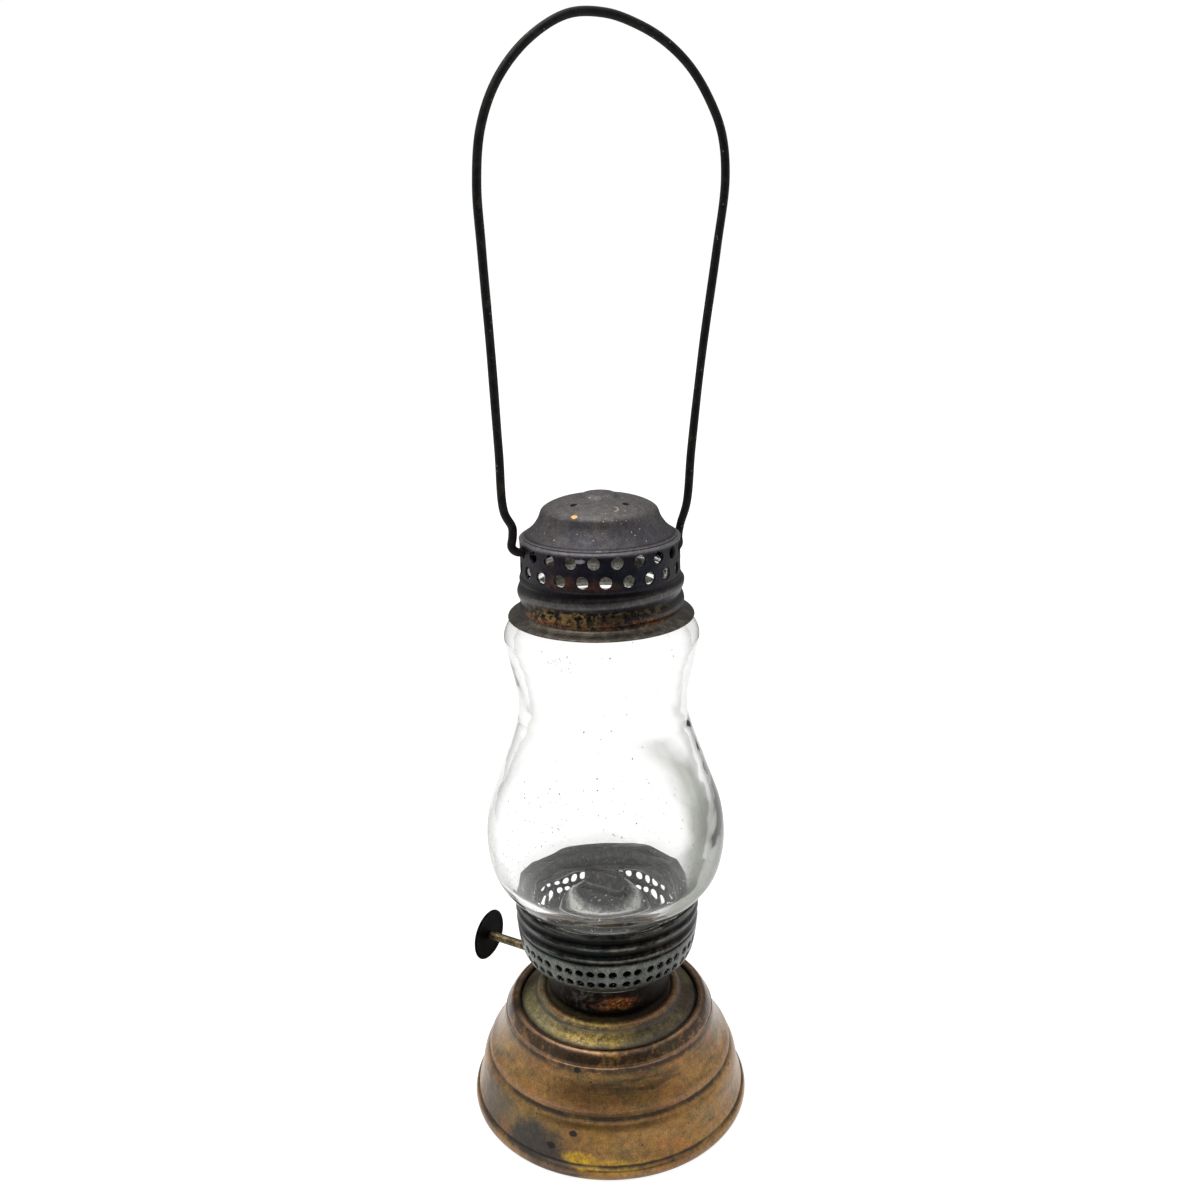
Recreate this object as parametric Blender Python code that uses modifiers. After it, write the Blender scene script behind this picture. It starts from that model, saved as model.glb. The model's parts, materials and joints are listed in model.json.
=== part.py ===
"""Skater's lantern: a small brass hand lamp with a screw-on burner, a glass globe, a pierced cap and a bail.

Lengths below are in millimetres and are turned into metres where meshes are made. The origin is the centre
of the ring that the lamp stands on, +Z is up, and the front of the lamp faces -Y.
"""
import math

import bmesh
import bpy
import numpy as np
from mathutils import Matrix, Vector

MM = 0.001
GAP = 0.3

# Steps round the axis for each family of turned pieces.
BODY_STEPS = 32
GLASS_STEPS = 28
CAP_STEPS = 28
BAND_STEPS = 44
GALLERY_STEPS = 48
ROUND_SIDES = 12
SHAFT_SIDES = 10
HOLE_SIDES = 6

# Font (oil reservoir).
BASE_R = 36.0
FONT_SEAM_R = 22.9
FONT_SEAM_Z = 27.9
BUSHING_R = 12.2
SPIGOT_R = 10.6
SPIGOT_WALL = 0.9
SPIGOT_BOTTOM_Z = 25.0

# Burner.
NECK_R = 15.8
NECK_WALL = 0.6
NECK_FOOT_Z = 32.0
NECK_TOP_Z = 40.9
GALLERY_WALL = 0.6
GALLERY_HOLE_R = 1.0
GALLERY_ROWS_Z = (48.6, 45.4)
GALLERY_GROUPS = (6, 2, 4, 4, 6, 4, 5, 4, 6, 4, 4)
GALLERY_GAP_DEG = 8.7
GALLERY_FIRST_GAP_DEG = -126.5
GALLERY_HOLE_REACH = 22.0
FLOOR_Z = 41.6
FLOOR_OPENING_R = 12.4
DISC_HOLE_R = 0.8
DISC_HOLE_RING_R = 10.2
DISC_HOLES = 8
DEFLECTOR_TOP_Z = 58.0
FLAME_MARGIN = 2.1

# Wick works: the shaft runs beside the flat wick tube.
SHAFT_AZIMUTH_DEG = 150.0
SHAFT_Z = 37.0
SHAFT_OFFSET = 3.7
SHAFT_R = 1.15
SHAFT_INNER_END = -13.6
WHEEL_REACH = 35.15
WHEEL_R = 6.55
WHEEL_THICK = 0.7
SPROCKET_R = 2.1
SPROCKET_THICK = 0.7
SPROCKET_SPACING = 5.0
SPROCKET_TEETH = 8
SPROCKET_DEPTH = 0.5
SPROCKET_WINDOW = (1.5, 2.0, 5.0)
WINDOW_OFFSET = 2.2
BUSH_R = 2.1
BUSH_REACH = (13.4, 16.6)
WICK_WIDTH = 9.6
WICK_THICK = 2.0
WICK_Z = (9.0, 64.0)
TUBE_PLAY = 0.3
TUBE_WALL = 0.4
TUBE_Z = (26.0, 63.2)

# Cap.
CAP_WALL = 0.6
BAND_R = 18.7
BAND_HOLE_R = 1.4
BAND_COLUMNS = 22
BAND_UPPER_Z = 149.6
BAND_LOWER_Z = 145.3
BAND_FIRST_DEG = -94.65
VENT_R = 0.65
VENT_RING_R = 8.6
VENT_Z = 160.0
VENT_AZIMUTHS_DEG = (-128.0, -52.0, 52.0, 128.0)

# Bail: a wire bent in one upright plane, hooked into an upper hole on the left and a lower hole on the right.
WIRE_R = 1.0
BAIL_AZIMUTH_DEG = 24.0
BAIL_MIDDLE = (-0.8, 1.2)
BAIL_TIP = 15.0
BAIL_POINTS = 84

# Cutters: their length, and the turn that lays an upright one along X.
DEEP = 6.0
LIE_DOWN = Matrix.Rotation(math.pi / 2, 4, "Y")

model = bpy.data.collections.new("skater_lantern")
cutters = bpy.data.collections.new("cutters")


def clear_scene():
    for obj in list(bpy.data.objects):
        bpy.data.objects.remove(obj, do_unlink=True)
    bpy.context.scene.collection.children.link(model)
    bpy.context.scene.collection.children.link(cutters)


def material(name, colour, roughness, metallic, transmission=0.0):
    made = bpy.data.materials.new(name)
    made.use_nodes = True
    shader = made.node_tree.nodes["Principled BSDF"]
    shader.inputs["Base Color"].default_value = (*colour, 1.0)
    shader.inputs["Roughness"].default_value = roughness
    shader.inputs["Metallic"].default_value = metallic
    shader.inputs["Transmission Weight"].default_value = transmission
    return made


def add(name, mesh, colour):
    obj = bpy.data.objects.new(name, mesh)
    model.objects.link(obj)
    mesh.materials.append(colour)
    return obj


def smooth(obj, angle_deg=40.0):
    obj.data.shade_smooth()
    obj.data.set_sharp_from_angle(angle=math.radians(angle_deg))


def turned(name, profile, steps, colour, closed=True, turn_deg=0.0):
    """A turned piece from (radius, height) points down its outer side. A closed profile makes a shell."""
    mesh = bpy.data.meshes.new(name)
    start = math.radians(turn_deg)
    points = [(r * MM * math.cos(start), r * MM * math.sin(start), z * MM) for r, z in profile]
    edges = [(i, i + 1) for i in range(len(points) - 1)]
    if closed:
        edges.append((len(points) - 1, 0))
    mesh.from_pydata(points, edges, [])
    obj = add(name, mesh, colour)
    screw = obj.modifiers.new("turn", "SCREW")
    screw.axis = "Z"
    screw.angle = math.tau
    screw.steps = steps
    screw.render_steps = steps
    screw.use_merge_vertices = True
    screw.merge_threshold = 0.00001
    screw.use_smooth_shade = True
    return obj


def shell(outer, wall):
    """The closed profile of a sheet whose outer side is given, top to bottom, with its wall inside that."""
    line = np.array(outer, float)
    step = np.diff(line, axis=0)
    step /= np.linalg.norm(step, axis=1)[:, None]
    along = np.vstack([step[:1], step[:-1] + step[1:], step[-1:]])
    along /= np.linalg.norm(along, axis=1)[:, None]
    inner = line + wall * np.column_stack([along[:, 1], -along[:, 0]])
    return [tuple(p) for p in line] + [tuple(p) for p in inner[::-1]]


def at(x, y, z):
    return Matrix.Translation(Vector((x, y, z)) * MM)


def outward(azimuth_deg, distance, height):
    """A place at this distance from the axis, whose own Z axis runs straight outwards."""
    return Matrix.Rotation(math.radians(azimuth_deg), 4, "Z") @ at(distance, 0.0, height) @ LIE_DOWN


def upright(azimuth_deg, distance, height):
    return Matrix.Rotation(math.radians(azimuth_deg), 4, "Z") @ at(distance, 0.0, height)


def drills(name, places, radius, sides=HOLE_SIDES):
    """Round cutters, one along the Z axis of each place."""
    bm = bmesh.new()
    for place in places:
        bmesh.ops.create_cone(
            bm,
            cap_ends=True,
            segments=sides,
            radius1=radius * MM,
            radius2=radius * MM,
            depth=DEEP * MM,
            matrix=place,
        )
    return cutter(name, bm)


def box_cutter(name, size, place):
    bm = bmesh.new()
    bmesh.ops.create_cube(bm, size=1.0)
    bmesh.ops.transform(bm, matrix=place @ Matrix.Diagonal((*(s * MM for s in size), 1.0)), verts=bm.verts)
    return cutter(name, bm)


def cutter(name, bm):
    mesh = bpy.data.meshes.new(name)
    bmesh.ops.recalc_face_normals(bm, faces=bm.faces)
    bm.to_mesh(mesh)
    bm.free()
    obj = bpy.data.objects.new(name, mesh)
    obj.hide_render = True
    obj.display_type = "WIRE"
    cutters.objects.link(obj)
    return obj


def cut(obj, tool):
    boolean = obj.modifiers.new(tool.name, "BOOLEAN")
    boolean.operation = "DIFFERENCE"
    boolean.solver = "EXACT"
    boolean.object = tool


def spline(points, count):
    """A smooth centripetal curve through the points, sampled at equal steps of its length."""
    p = np.array(points, float)
    p = np.vstack([2 * p[0] - p[1], p, 2 * p[-1] - p[-2]])
    fine = []
    for a, b, c, d in zip(p[:-3], p[1:-2], p[2:-1], p[3:]):
        t0 = 0.0
        t1 = t0 + math.sqrt(np.linalg.norm(b - a))
        t2 = t1 + math.sqrt(np.linalg.norm(c - b))
        t3 = t2 + math.sqrt(np.linalg.norm(d - c))
        for t in np.linspace(t1, t2, 24, endpoint=False):
            ab = ((t1 - t) * a + (t - t0) * b) / (t1 - t0)
            bc = ((t2 - t) * b + (t - t1) * c) / (t2 - t1)
            cd = ((t3 - t) * c + (t - t2) * d) / (t3 - t2)
            abc = ((t2 - t) * ab + (t - t0) * bc) / (t2 - t0)
            bcd = ((t3 - t) * bc + (t - t1) * cd) / (t3 - t1)
            fine.append(((t2 - t) * abc + (t - t1) * bcd) / (t2 - t1))
    fine.append(p[-2])
    fine = np.array(fine)
    length = np.concatenate([[0], np.cumsum(np.linalg.norm(np.diff(fine, axis=0), axis=1))])
    at = np.linspace(0, length[-1], count)
    return np.column_stack([np.interp(at, length, fine[:, k]) for k in range(fine.shape[1])])


def across(x, y, z):
    """A place given from the lamp's axis, with X along the wick shaft and Y towards the shaft's side."""
    return Matrix.Rotation(math.radians(SHAFT_AZIMUTH_DEG), 4, "Z") @ at(x, y, z)


def shaft_frame(along=0.0):
    """A place on the wick shaft's own centre line, with X out along it."""
    return across(along, SHAFT_OFFSET, SHAFT_Z)


def on_shaft(name, radius, start, end, colour, steps, bore=0.0):
    """A round piece along the shaft, from start to end, with an optional bore."""
    if bore:
        profile = [(radius, end), (radius, start), (bore, start), (bore, end)]
    else:
        profile = [(0.0, end), (radius, end), (radius, start), (0.0, start)]
    obj = turned(name, profile, steps, colour, closed=bool(bore))
    obj.matrix_world = shaft_frame() @ LIE_DOWN
    return obj


def sprocket(name, centre, colour):
    """A small toothed wheel: a disc whose rim steps in and out."""
    bm = bmesh.new()
    count = SPROCKET_TEETH * 4
    rings = []
    for x in (centre - SPROCKET_THICK / 2, centre + SPROCKET_THICK / 2):
        ring = []
        for k in range(count):
            radius = SPROCKET_R if k % 4 < 2 else SPROCKET_R - SPROCKET_DEPTH
            a = math.tau * k / count
            ring.append(bm.verts.new(Vector((x, radius * math.cos(a), radius * math.sin(a))) * MM))
        rings.append(bm.faces.new(ring))
    outline = [list(face.verts) for face in rings]
    for k in range(count):
        following = (k + 1) % count
        bm.faces.new((outline[0][k], outline[0][following], outline[1][following], outline[1][k]))
    bmesh.ops.recalc_face_normals(bm, faces=bm.faces)
    mesh = bpy.data.meshes.new(name)
    bm.to_mesh(mesh)
    bm.free()
    obj = add(name, mesh, colour)
    obj.matrix_world = shaft_frame()
    return obj


def slab(name, width, thick, low, high, colour):
    """An upright flat bar centred on the lamp's axis, its wide side along the shaft."""
    bm = bmesh.new()
    bmesh.ops.create_cube(bm, size=1.0)
    size = Matrix.Diagonal((width * MM, thick * MM, (high - low) * MM, 1.0))
    bmesh.ops.transform(bm, matrix=across(0.0, 0.0, (low + high) / 2) @ size, verts=bm.verts)
    mesh = bpy.data.meshes.new(name)
    bm.to_mesh(mesh)
    bm.free()
    return add(name, mesh, colour)


def font(brass, dark):
    side = [
        (FONT_SEAM_R + GAP, FONT_SEAM_Z),
        (23.7, 28.7),
        (24.5, 28.9),
        (25.9, 27.7),
        (26.8, 25.6),
        (27.2, 24.2),
        (28.0, 21.8),
        (29.2, 19.0),
        (30.7, 17.0),
        (31.3, 15.8),
        (31.2, 14.9),
        (31.9, 14.0),
        (33.1, 11.8),
        (33.9, 8.2),
        (34.9, 4.4),
        (35.1, 3.7),
        (35.8, 2.9),
        (BASE_R, 1.9),
        (35.9, 1.0),
        (35.2, 0.0),
        (33.9, 0.0),
        (33.9, 3.4),
        (31.6, 11.6),
        (27.4, 19.2),
        (25.0, 26.3),
        (FONT_SEAM_R + GAP, 27.0),
    ]
    turned("font_side", side, BODY_STEPS, brass)
    top = [
        (16.3, 30.9),
        (16.8, 31.5),
        (17.4, 31.2),
        (17.8, 30.5),
        (20.2, 29.6),
        (22.2, 28.4),
        (FONT_SEAM_R, 27.6),
        (FONT_SEAM_R, 26.9),
        (20.0, 28.6),
        (17.0, 29.6),
        (BUSHING_R + GAP, 29.6),
        (BUSHING_R + GAP, 30.9),
    ]
    turned("font_top", top, BODY_STEPS, brass)
    bottom = [(0.0, 2.0), (31.8, 2.0), (33.5, 2.4), (33.5, 1.6), (32.0, 1.2), (0.0, 1.2)]
    turned("font_bottom", bottom, BODY_STEPS, dark, closed=False)
    bushing = [
        (BUSHING_R, 31.2),
        (BUSHING_R, 25.6),
        (SPIGOT_R + GAP, 25.6),
        (SPIGOT_R + GAP, 31.2),
    ]
    turned("font_bushing", bushing, BODY_STEPS, brass)


def gallery_columns():
    """The azimuths of the pierced columns, which stand in groups with a wider gap after each."""
    spacing = 360.0 - GALLERY_GAP_DEG * len(GALLERY_GROUPS)
    pitch = spacing / (sum(GALLERY_GROUPS) - len(GALLERY_GROUPS))
    azimuth = GALLERY_FIRST_GAP_DEG + GALLERY_GAP_DEG / 2
    columns = []
    for size in GALLERY_GROUPS:
        columns += [azimuth + pitch * k for k in range(size)]
        azimuth = columns[-1] + GALLERY_GAP_DEG
    return columns


def burner(brass, dark, grey):
    spigot = [
        (SPIGOT_R, 31.7),
        (SPIGOT_R, 30.4),
        (SPIGOT_R - 0.3, 29.7),
        (SPIGOT_R, 29.0),
        (SPIGOT_R - 0.3, 28.3),
        (SPIGOT_R, 27.6),
        (SPIGOT_R, SPIGOT_BOTTOM_Z),
        (SPIGOT_R - SPIGOT_WALL, SPIGOT_BOTTOM_Z),
        (SPIGOT_R - SPIGOT_WALL, 31.7),
    ]
    turned("burner_spigot", spigot, BODY_STEPS, brass)
    neck = [
        (17.2, NECK_TOP_Z),
        (17.5, 40.4),
        (17.2, 39.8),
        (16.0, 39.5),
        (NECK_R, 38.9),
        (NECK_R, 33.0),
        (15.3, NECK_FOOT_Z),
        (SPIGOT_R - SPIGOT_WALL, NECK_FOOT_Z),
        (SPIGOT_R - SPIGOT_WALL, NECK_FOOT_Z + NECK_WALL),
        (NECK_R - NECK_WALL, NECK_FOOT_Z + NECK_WALL + 0.4),
        (NECK_R - NECK_WALL, 39.5),
        (16.3, NECK_TOP_Z),
    ]
    collar = turned("burner_neck", neck, BODY_STEPS, dark)
    cut(collar, drills("shaft_window", [shaft_frame(NECK_R) @ LIE_DOWN], BUSH_R + GAP, ROUND_SIDES))
    on_shaft("shaft_bush", BUSH_R, *BUSH_REACH, brass, ROUND_SIDES, bore=SHAFT_R + GAP)

    wall = shell(
        [
            (22.7, 59.7),
            (23.3, 59.5),
            (23.4, 58.8),
            (22.6, 57.7),
            (23.2, 56.1),
            (22.5, 54.3),
            (23.1, 52.8),
            (22.8, 50.6),
            (22.3, 47.0),
            (21.5, 43.9),
            (19.9, 42.2),
            (18.4, FLOOR_Z),
            (FLOOR_OPENING_R, FLOOR_Z),
        ],
        GALLERY_WALL,
    )
    gallery = turned("gallery", wall, GALLERY_STEPS, grey, turn_deg=GALLERY_FIRST_GAP_DEG)
    columns = gallery_columns()
    places = [outward(azimuth, GALLERY_HOLE_REACH, z) for azimuth in columns for z in GALLERY_ROWS_Z]
    cut(gallery, drills("gallery_piercing", places, GALLERY_HOLE_R))

    rim = FLOOR_OPENING_R - GAP
    top = FLOOR_Z + GALLERY_WALL
    plate = turned("air_disc", [(rim, top), (rim, FLOOR_Z), (8.3, FLOOR_Z), (8.3, top)], BODY_STEPS, grey)
    turn = 360.0 / DISC_HOLES
    places = [upright(turn * (k + 0.5), DISC_HOLE_RING_R, FLOOR_Z) for k in range(DISC_HOLES)]
    cut(plate, drills("air_piercing", places, DISC_HOLE_R))

    tube = slab(
        "wick_tube",
        WICK_WIDTH + 2 * (TUBE_PLAY + TUBE_WALL),
        WICK_THICK + 2 * (TUBE_PLAY + TUBE_WALL),
        *TUBE_Z,
        brass,
    )
    bore = (WICK_WIDTH + 2 * TUBE_PLAY, WICK_THICK + 2 * TUBE_PLAY, 2 * (TUBE_Z[1] - TUBE_Z[0]))
    cut(tube, box_cutter("tube_bore", bore, across(0.0, 0.0, sum(TUBE_Z) / 2)))
    for n, centre in enumerate((-SPROCKET_SPACING / 2, SPROCKET_SPACING / 2)):
        place = across(centre, WINDOW_OFFSET, SHAFT_Z)
        cut(tube, box_cutter(f"sprocket_window_{n}", SPROCKET_WINDOW, place))

    dome = shell(
        [
            (3.4, DEFLECTOR_TOP_Z),
            (6.4, 57.6),
            (10.4, 55.0),
            (12.8, 50.6),
            (13.6, 46.0),
            (14.2, 44.2),
        ],
        GALLERY_WALL,
    )
    hood = turned("deflector", dome, BODY_STEPS, grey)
    slot = (WICK_WIDTH + 2 * FLAME_MARGIN, WICK_THICK + 2 * FLAME_MARGIN, DEEP)
    cut(hood, box_cutter("flame_slot", slot, across(0.0, 0.0, DEFLECTOR_TOP_Z)))


def wick_works(brass, dark, cotton):
    on_shaft("wick_shaft", SHAFT_R, SHAFT_INNER_END, WHEEL_REACH - WHEEL_THICK / 2 - GAP, brass, SHAFT_SIDES)
    half = WHEEL_THICK / 2
    wheel = [
        (0.0, WHEEL_REACH + half + 0.2),
        (2.0, WHEEL_REACH + half + 0.2),
        (WHEEL_R - 0.3, WHEEL_REACH + half),
        (WHEEL_R, WHEEL_REACH),
        (WHEEL_R - 0.3, WHEEL_REACH - half),
        (0.0, WHEEL_REACH - half),
    ]
    disc = turned("thumbwheel", wheel, BODY_STEPS, dark, closed=False)
    disc.matrix_world = shaft_frame() @ LIE_DOWN
    for n, centre in enumerate((-SPROCKET_SPACING / 2, SPROCKET_SPACING / 2)):
        piece = sprocket(f"sprocket_{n + 1}", centre, brass)
        bore = [shaft_frame(centre) @ LIE_DOWN]
        cut(piece, drills(f"sprocket_bore_{n + 1}", bore, SHAFT_R + 0.1, SHAFT_SIDES))
    slab("wick", WICK_WIDTH, WICK_THICK, *WICK_Z, cotton)


def globe(glass):
    outer = [
        (16.9, 143.6),
        (17.5, 143.2),
        (17.7, 133.0),
        (21.6, 131.2),
        (22.9, 129.9),
        (23.2, 127.8),
        (21.4, 118.6),
        (20.5, 112.0),
        (21.1, 106.0),
        (24.1, 96.8),
        (27.8, 86.0),
        (29.6, 76.4),
        (29.2, 71.0),
        (27.4, 65.8),
        (24.7, 62.0),
        (21.2, 59.6),
        (20.9, 52.2),
    ]
    inner = [
        (18.7, 52.2),
        (18.9, 59.8),
        (23.2, 63.8),
        (26.4, 69.6),
        (27.2, 76.4),
        (25.2, 86.0),
        (21.5, 97.0),
        (18.3, 107.0),
        (18.2, 113.0),
        (20.7, 127.4),
        (15.6, 131.2),
        (15.3, 143.6),
    ]
    turned("globe", outer + inner, GLASS_STEPS, glass)


def cap(brass, dark):
    collar = shell(
        [
            (18.9, 142.6),
            (19.5, 141.4),
            (18.9, 139.8),
            (19.7, 138.4),
            (19.7, 137.2),
            (19.0, 135.8),
            (19.2, 134.6),
            (20.6, 133.6),
            (22.1, 132.9),
        ],
        CAP_WALL - 0.1,
    )
    turned("cap_collar", collar, CAP_STEPS, dark)
    band = [
        (18.2, 152.0),
        (18.8, 151.6),
        (BAND_R, 151.0),
        (BAND_R, 142.9),
        (BAND_R - CAP_WALL, 142.9),
        (BAND_R - CAP_WALL, 151.2),
        (17.7, 151.6),
    ]
    pierced = turned("cap_band", band, BAND_STEPS, dark, turn_deg=BAND_FIRST_DEG + 180.0 / BAND_STEPS)
    pitch = 360.0 / BAND_COLUMNS
    places = [outward(BAND_FIRST_DEG + pitch * k, BAND_R, BAND_UPPER_Z) for k in range(BAND_COLUMNS)]
    places += [outward(BAND_FIRST_DEG + pitch * (k + 0.5), BAND_R, BAND_LOWER_Z) for k in range(BAND_COLUMNS)]
    cut(pierced, drills("band_piercing", places, BAND_HOLE_R))
    dome = [
        (0.0, 161.8),
        (3.2, 161.7),
        (4.0, 161.1),
        (9.4, 160.2),
        (12.6, 158.8),
        (13.8, 157.8),
        (15.0, 155.2),
        (17.4, 152.6),
        (17.0, 152.1),
        (14.0, 155.4),
        (12.9, 157.4),
        (9.2, 159.4),
        (0.0, 160.6),
    ]
    roof = turned("cap_dome", dome, CAP_STEPS, dark, closed=False)
    places = [upright(azimuth, VENT_RING_R, VENT_Z) for azimuth in VENT_AZIMUTHS_DEG]
    cut(roof, drills("vents", places, VENT_R, sides=8))


def bail(black):
    """The path runs in the plane through the two hooks: (distance to the right of the middle, height)."""
    left = [
        (-BAIL_TIP, BAND_UPPER_Z),
        (-17.6, BAND_UPPER_Z),
        (-19.8, BAND_UPPER_Z + 0.2),
        (-21.0, BAND_UPPER_Z + 1.4),
        (-20.7, BAND_UPPER_Z + 3.9),
        (-20.7, BAND_UPPER_Z + 6.0),
        (-22.5, BAND_UPPER_Z + 9.8),
        (-23.1, 173.0),
        (-23.9, 195.0),
        (-24.9, 216.0),
        (-25.3, 229.0),
        (-23.9, 239.8),
        (-20.0, 248.8),
        (-13.1, 256.6),
    ]
    right = [
        (-4.0, 262.0),
        (4.5, 262.6),
        (11.5, 260.8),
        (18.2, 257.8),
        (24.6, 252.8),
        (29.5, 246.2),
        (32.6, 239.4),
        (33.6, 230.0),
        (31.5, 214.6),
        (28.0, 192.4),
        (25.1, 169.2),
        (23.9, 156.6),
        (22.2, BAND_LOWER_Z + 6.2),
        (21.7, BAND_LOWER_Z + 3.4),
        (21.8, BAND_LOWER_Z + 1.4),
        (20.4, BAND_LOWER_Z + 0.1),
        (17.6, BAND_LOWER_Z),
        (BAIL_TIP, BAND_LOWER_Z),
    ]
    a = math.radians(BAIL_AZIMUTH_DEG)
    path = spline(left + right, BAIL_POINTS)
    curve = bpy.data.curves.new("bail_path", "CURVE")
    curve.dimensions = "3D"
    line = curve.splines.new("POLY")
    line.points.add(len(path) - 1)
    for point, (s, z) in zip(line.points, path):
        x = BAIL_MIDDLE[0] + s * math.cos(a)
        y = BAIL_MIDDLE[1] + s * math.sin(a)
        point.co = (x * MM, y * MM, z * MM, 1.0)
    curve.bevel_depth = WIRE_R * MM
    curve.bevel_resolution = 1
    curve.use_fill_caps = True
    curve.materials.append(black)
    obj = bpy.data.objects.new("bail", curve)
    model.objects.link(obj)
    return obj


def main():
    clear_scene()
    brass = material("aged_brass", (0.36, 0.25, 0.13), 0.42, 1.0)
    dark = material("dark_brass", (0.09, 0.075, 0.065), 0.5, 1.0)
    grey = material("grey_brass", (0.17, 0.18, 0.17), 0.5, 1.0)
    black = material("black_wire", (0.012, 0.012, 0.012), 0.45, 0.0)
    cotton = material("cotton", (0.62, 0.56, 0.45), 0.95, 0.0)
    glass = material("clear_glass", (0.93, 0.96, 0.93), 0.03, 0.0, transmission=1.0)
    font(brass, dark)
    burner(brass, dark, grey)
    wick_works(brass, dark, cotton)
    globe(glass)
    cap(brass, dark)
    bail(black)
    for obj in model.objects:
        if obj.type == "MESH":
            smooth(obj)


main()
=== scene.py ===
"""The looks of the skater's lantern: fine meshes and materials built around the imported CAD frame.

Lengths are in millimetres, measured from the lamp's axis and from the floor; MM turns them into metres.
Angles are in degrees round the axis: 0 is +X, and the front of the lamp is at -90.
"""

import json
import math

import bmesh
import bpy
import numpy as np
from mathutils import Matrix, Vector


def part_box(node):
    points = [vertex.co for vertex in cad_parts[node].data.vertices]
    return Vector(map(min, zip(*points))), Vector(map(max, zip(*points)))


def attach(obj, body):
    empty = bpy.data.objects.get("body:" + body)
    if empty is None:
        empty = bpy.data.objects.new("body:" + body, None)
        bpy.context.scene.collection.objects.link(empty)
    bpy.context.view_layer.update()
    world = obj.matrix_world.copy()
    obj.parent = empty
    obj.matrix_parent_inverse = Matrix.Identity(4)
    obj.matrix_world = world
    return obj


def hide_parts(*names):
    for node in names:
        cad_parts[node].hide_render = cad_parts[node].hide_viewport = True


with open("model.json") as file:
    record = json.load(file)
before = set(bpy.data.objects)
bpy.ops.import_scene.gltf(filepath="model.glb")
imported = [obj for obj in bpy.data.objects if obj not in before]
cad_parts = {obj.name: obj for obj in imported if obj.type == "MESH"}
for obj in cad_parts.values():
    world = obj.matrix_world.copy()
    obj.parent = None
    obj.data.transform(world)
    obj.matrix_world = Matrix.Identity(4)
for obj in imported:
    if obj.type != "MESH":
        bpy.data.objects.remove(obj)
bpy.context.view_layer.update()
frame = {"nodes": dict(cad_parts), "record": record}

MM = 0.001
SHARP_DEG = 38.0


# ---------------------------------------------------------------- shapes

def span(node):
    """The lowest height, the highest height and the outer radius of a CAD node."""
    low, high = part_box(node)
    return low[2] / MM, high[2] / MM, (high[0] - low[0]) / 2 / MM


def spline(points, step):
    """A smooth centripetal curve through the points, sampled about every step of its length."""
    p = np.array(points, float)
    if len(p) == 2:
        count = max(2, round(np.linalg.norm(p[1] - p[0]) / step) + 1)
        return np.linspace(p[0], p[1], count)
    p = np.vstack([2 * p[0] - p[1], p, 2 * p[-1] - p[-2]])
    fine = []
    for a, b, c, d in zip(p[:-3], p[1:-2], p[2:-1], p[3:]):
        t1 = math.sqrt(np.linalg.norm(b - a))
        t2 = t1 + math.sqrt(np.linalg.norm(c - b))
        t3 = t2 + math.sqrt(np.linalg.norm(d - c))
        for t in np.linspace(t1, t2, 20, endpoint=False):
            ab = ((t1 - t) * a + t * b) / t1
            bc = ((t2 - t) * b + (t - t1) * c) / (t2 - t1)
            cd = ((t3 - t) * c + (t - t2) * d) / (t3 - t2)
            abc = ((t2 - t) * ab + t * bc) / t2
            bcd = ((t3 - t) * bc + (t - t1) * cd) / (t3 - t1)
            fine.append(((t2 - t) * abc + (t - t1) * bcd) / (t2 - t1))
    fine = np.array(fine + [p[-2]])
    length = np.concatenate([[0], np.cumsum(np.linalg.norm(np.diff(fine, axis=0), axis=1))])
    at = np.linspace(0, length[-1], max(2, round(length[-1] / step) + 1))
    return np.column_stack([np.interp(at, length, fine[:, k]) for k in range(fine.shape[1])])


def outline(*runs, step=0.3):
    """Runs of (radius, height) points, each smooth. A run starts where the last one ended, at a corner."""
    parts = [spline(runs[0], step)]
    for before, run in zip(runs[:-1], runs[1:]):
        parts.append(spline([before[-1], *run], step)[1:])
    return np.vstack(parts)


def inside(line, wall):
    """The line moved by the wall's thickness to its inner side, which is inwards where it runs down."""
    step = np.gradient(line, axis=0)
    for _ in range(3):
        step[1:-1] = (step[:-2] + step[1:-1] + step[2:]) / 3
    step /= np.linalg.norm(step, axis=1)[:, None]
    return line + wall * np.column_stack([step[:, 1], -step[:, 0]])


def sheet(line, wall):
    """The closed outline of a sheet: down its outer side, and back up its inner side."""
    return np.vstack([line, inside(line, wall)[::-1]])


def turns(count):
    return np.linspace(-math.pi, math.pi, count, endpoint=False)


def revolve(line, angles, shape=None):
    """Rows of points, one row for each (radius, height) of the line."""
    r = np.repeat(line[:, :1], len(angles), axis=1)
    z = np.repeat(line[:, 1:], len(angles), axis=1)
    a = np.repeat(angles[None, :], len(line), axis=0)
    if shape:
        r, z = shape(r, z, a)
    return np.stack([r * np.cos(a), r * np.sin(a), z], axis=2)


# The places of a wall's two paints on its mesh.
OUTER = 0
INNER = 1


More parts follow.
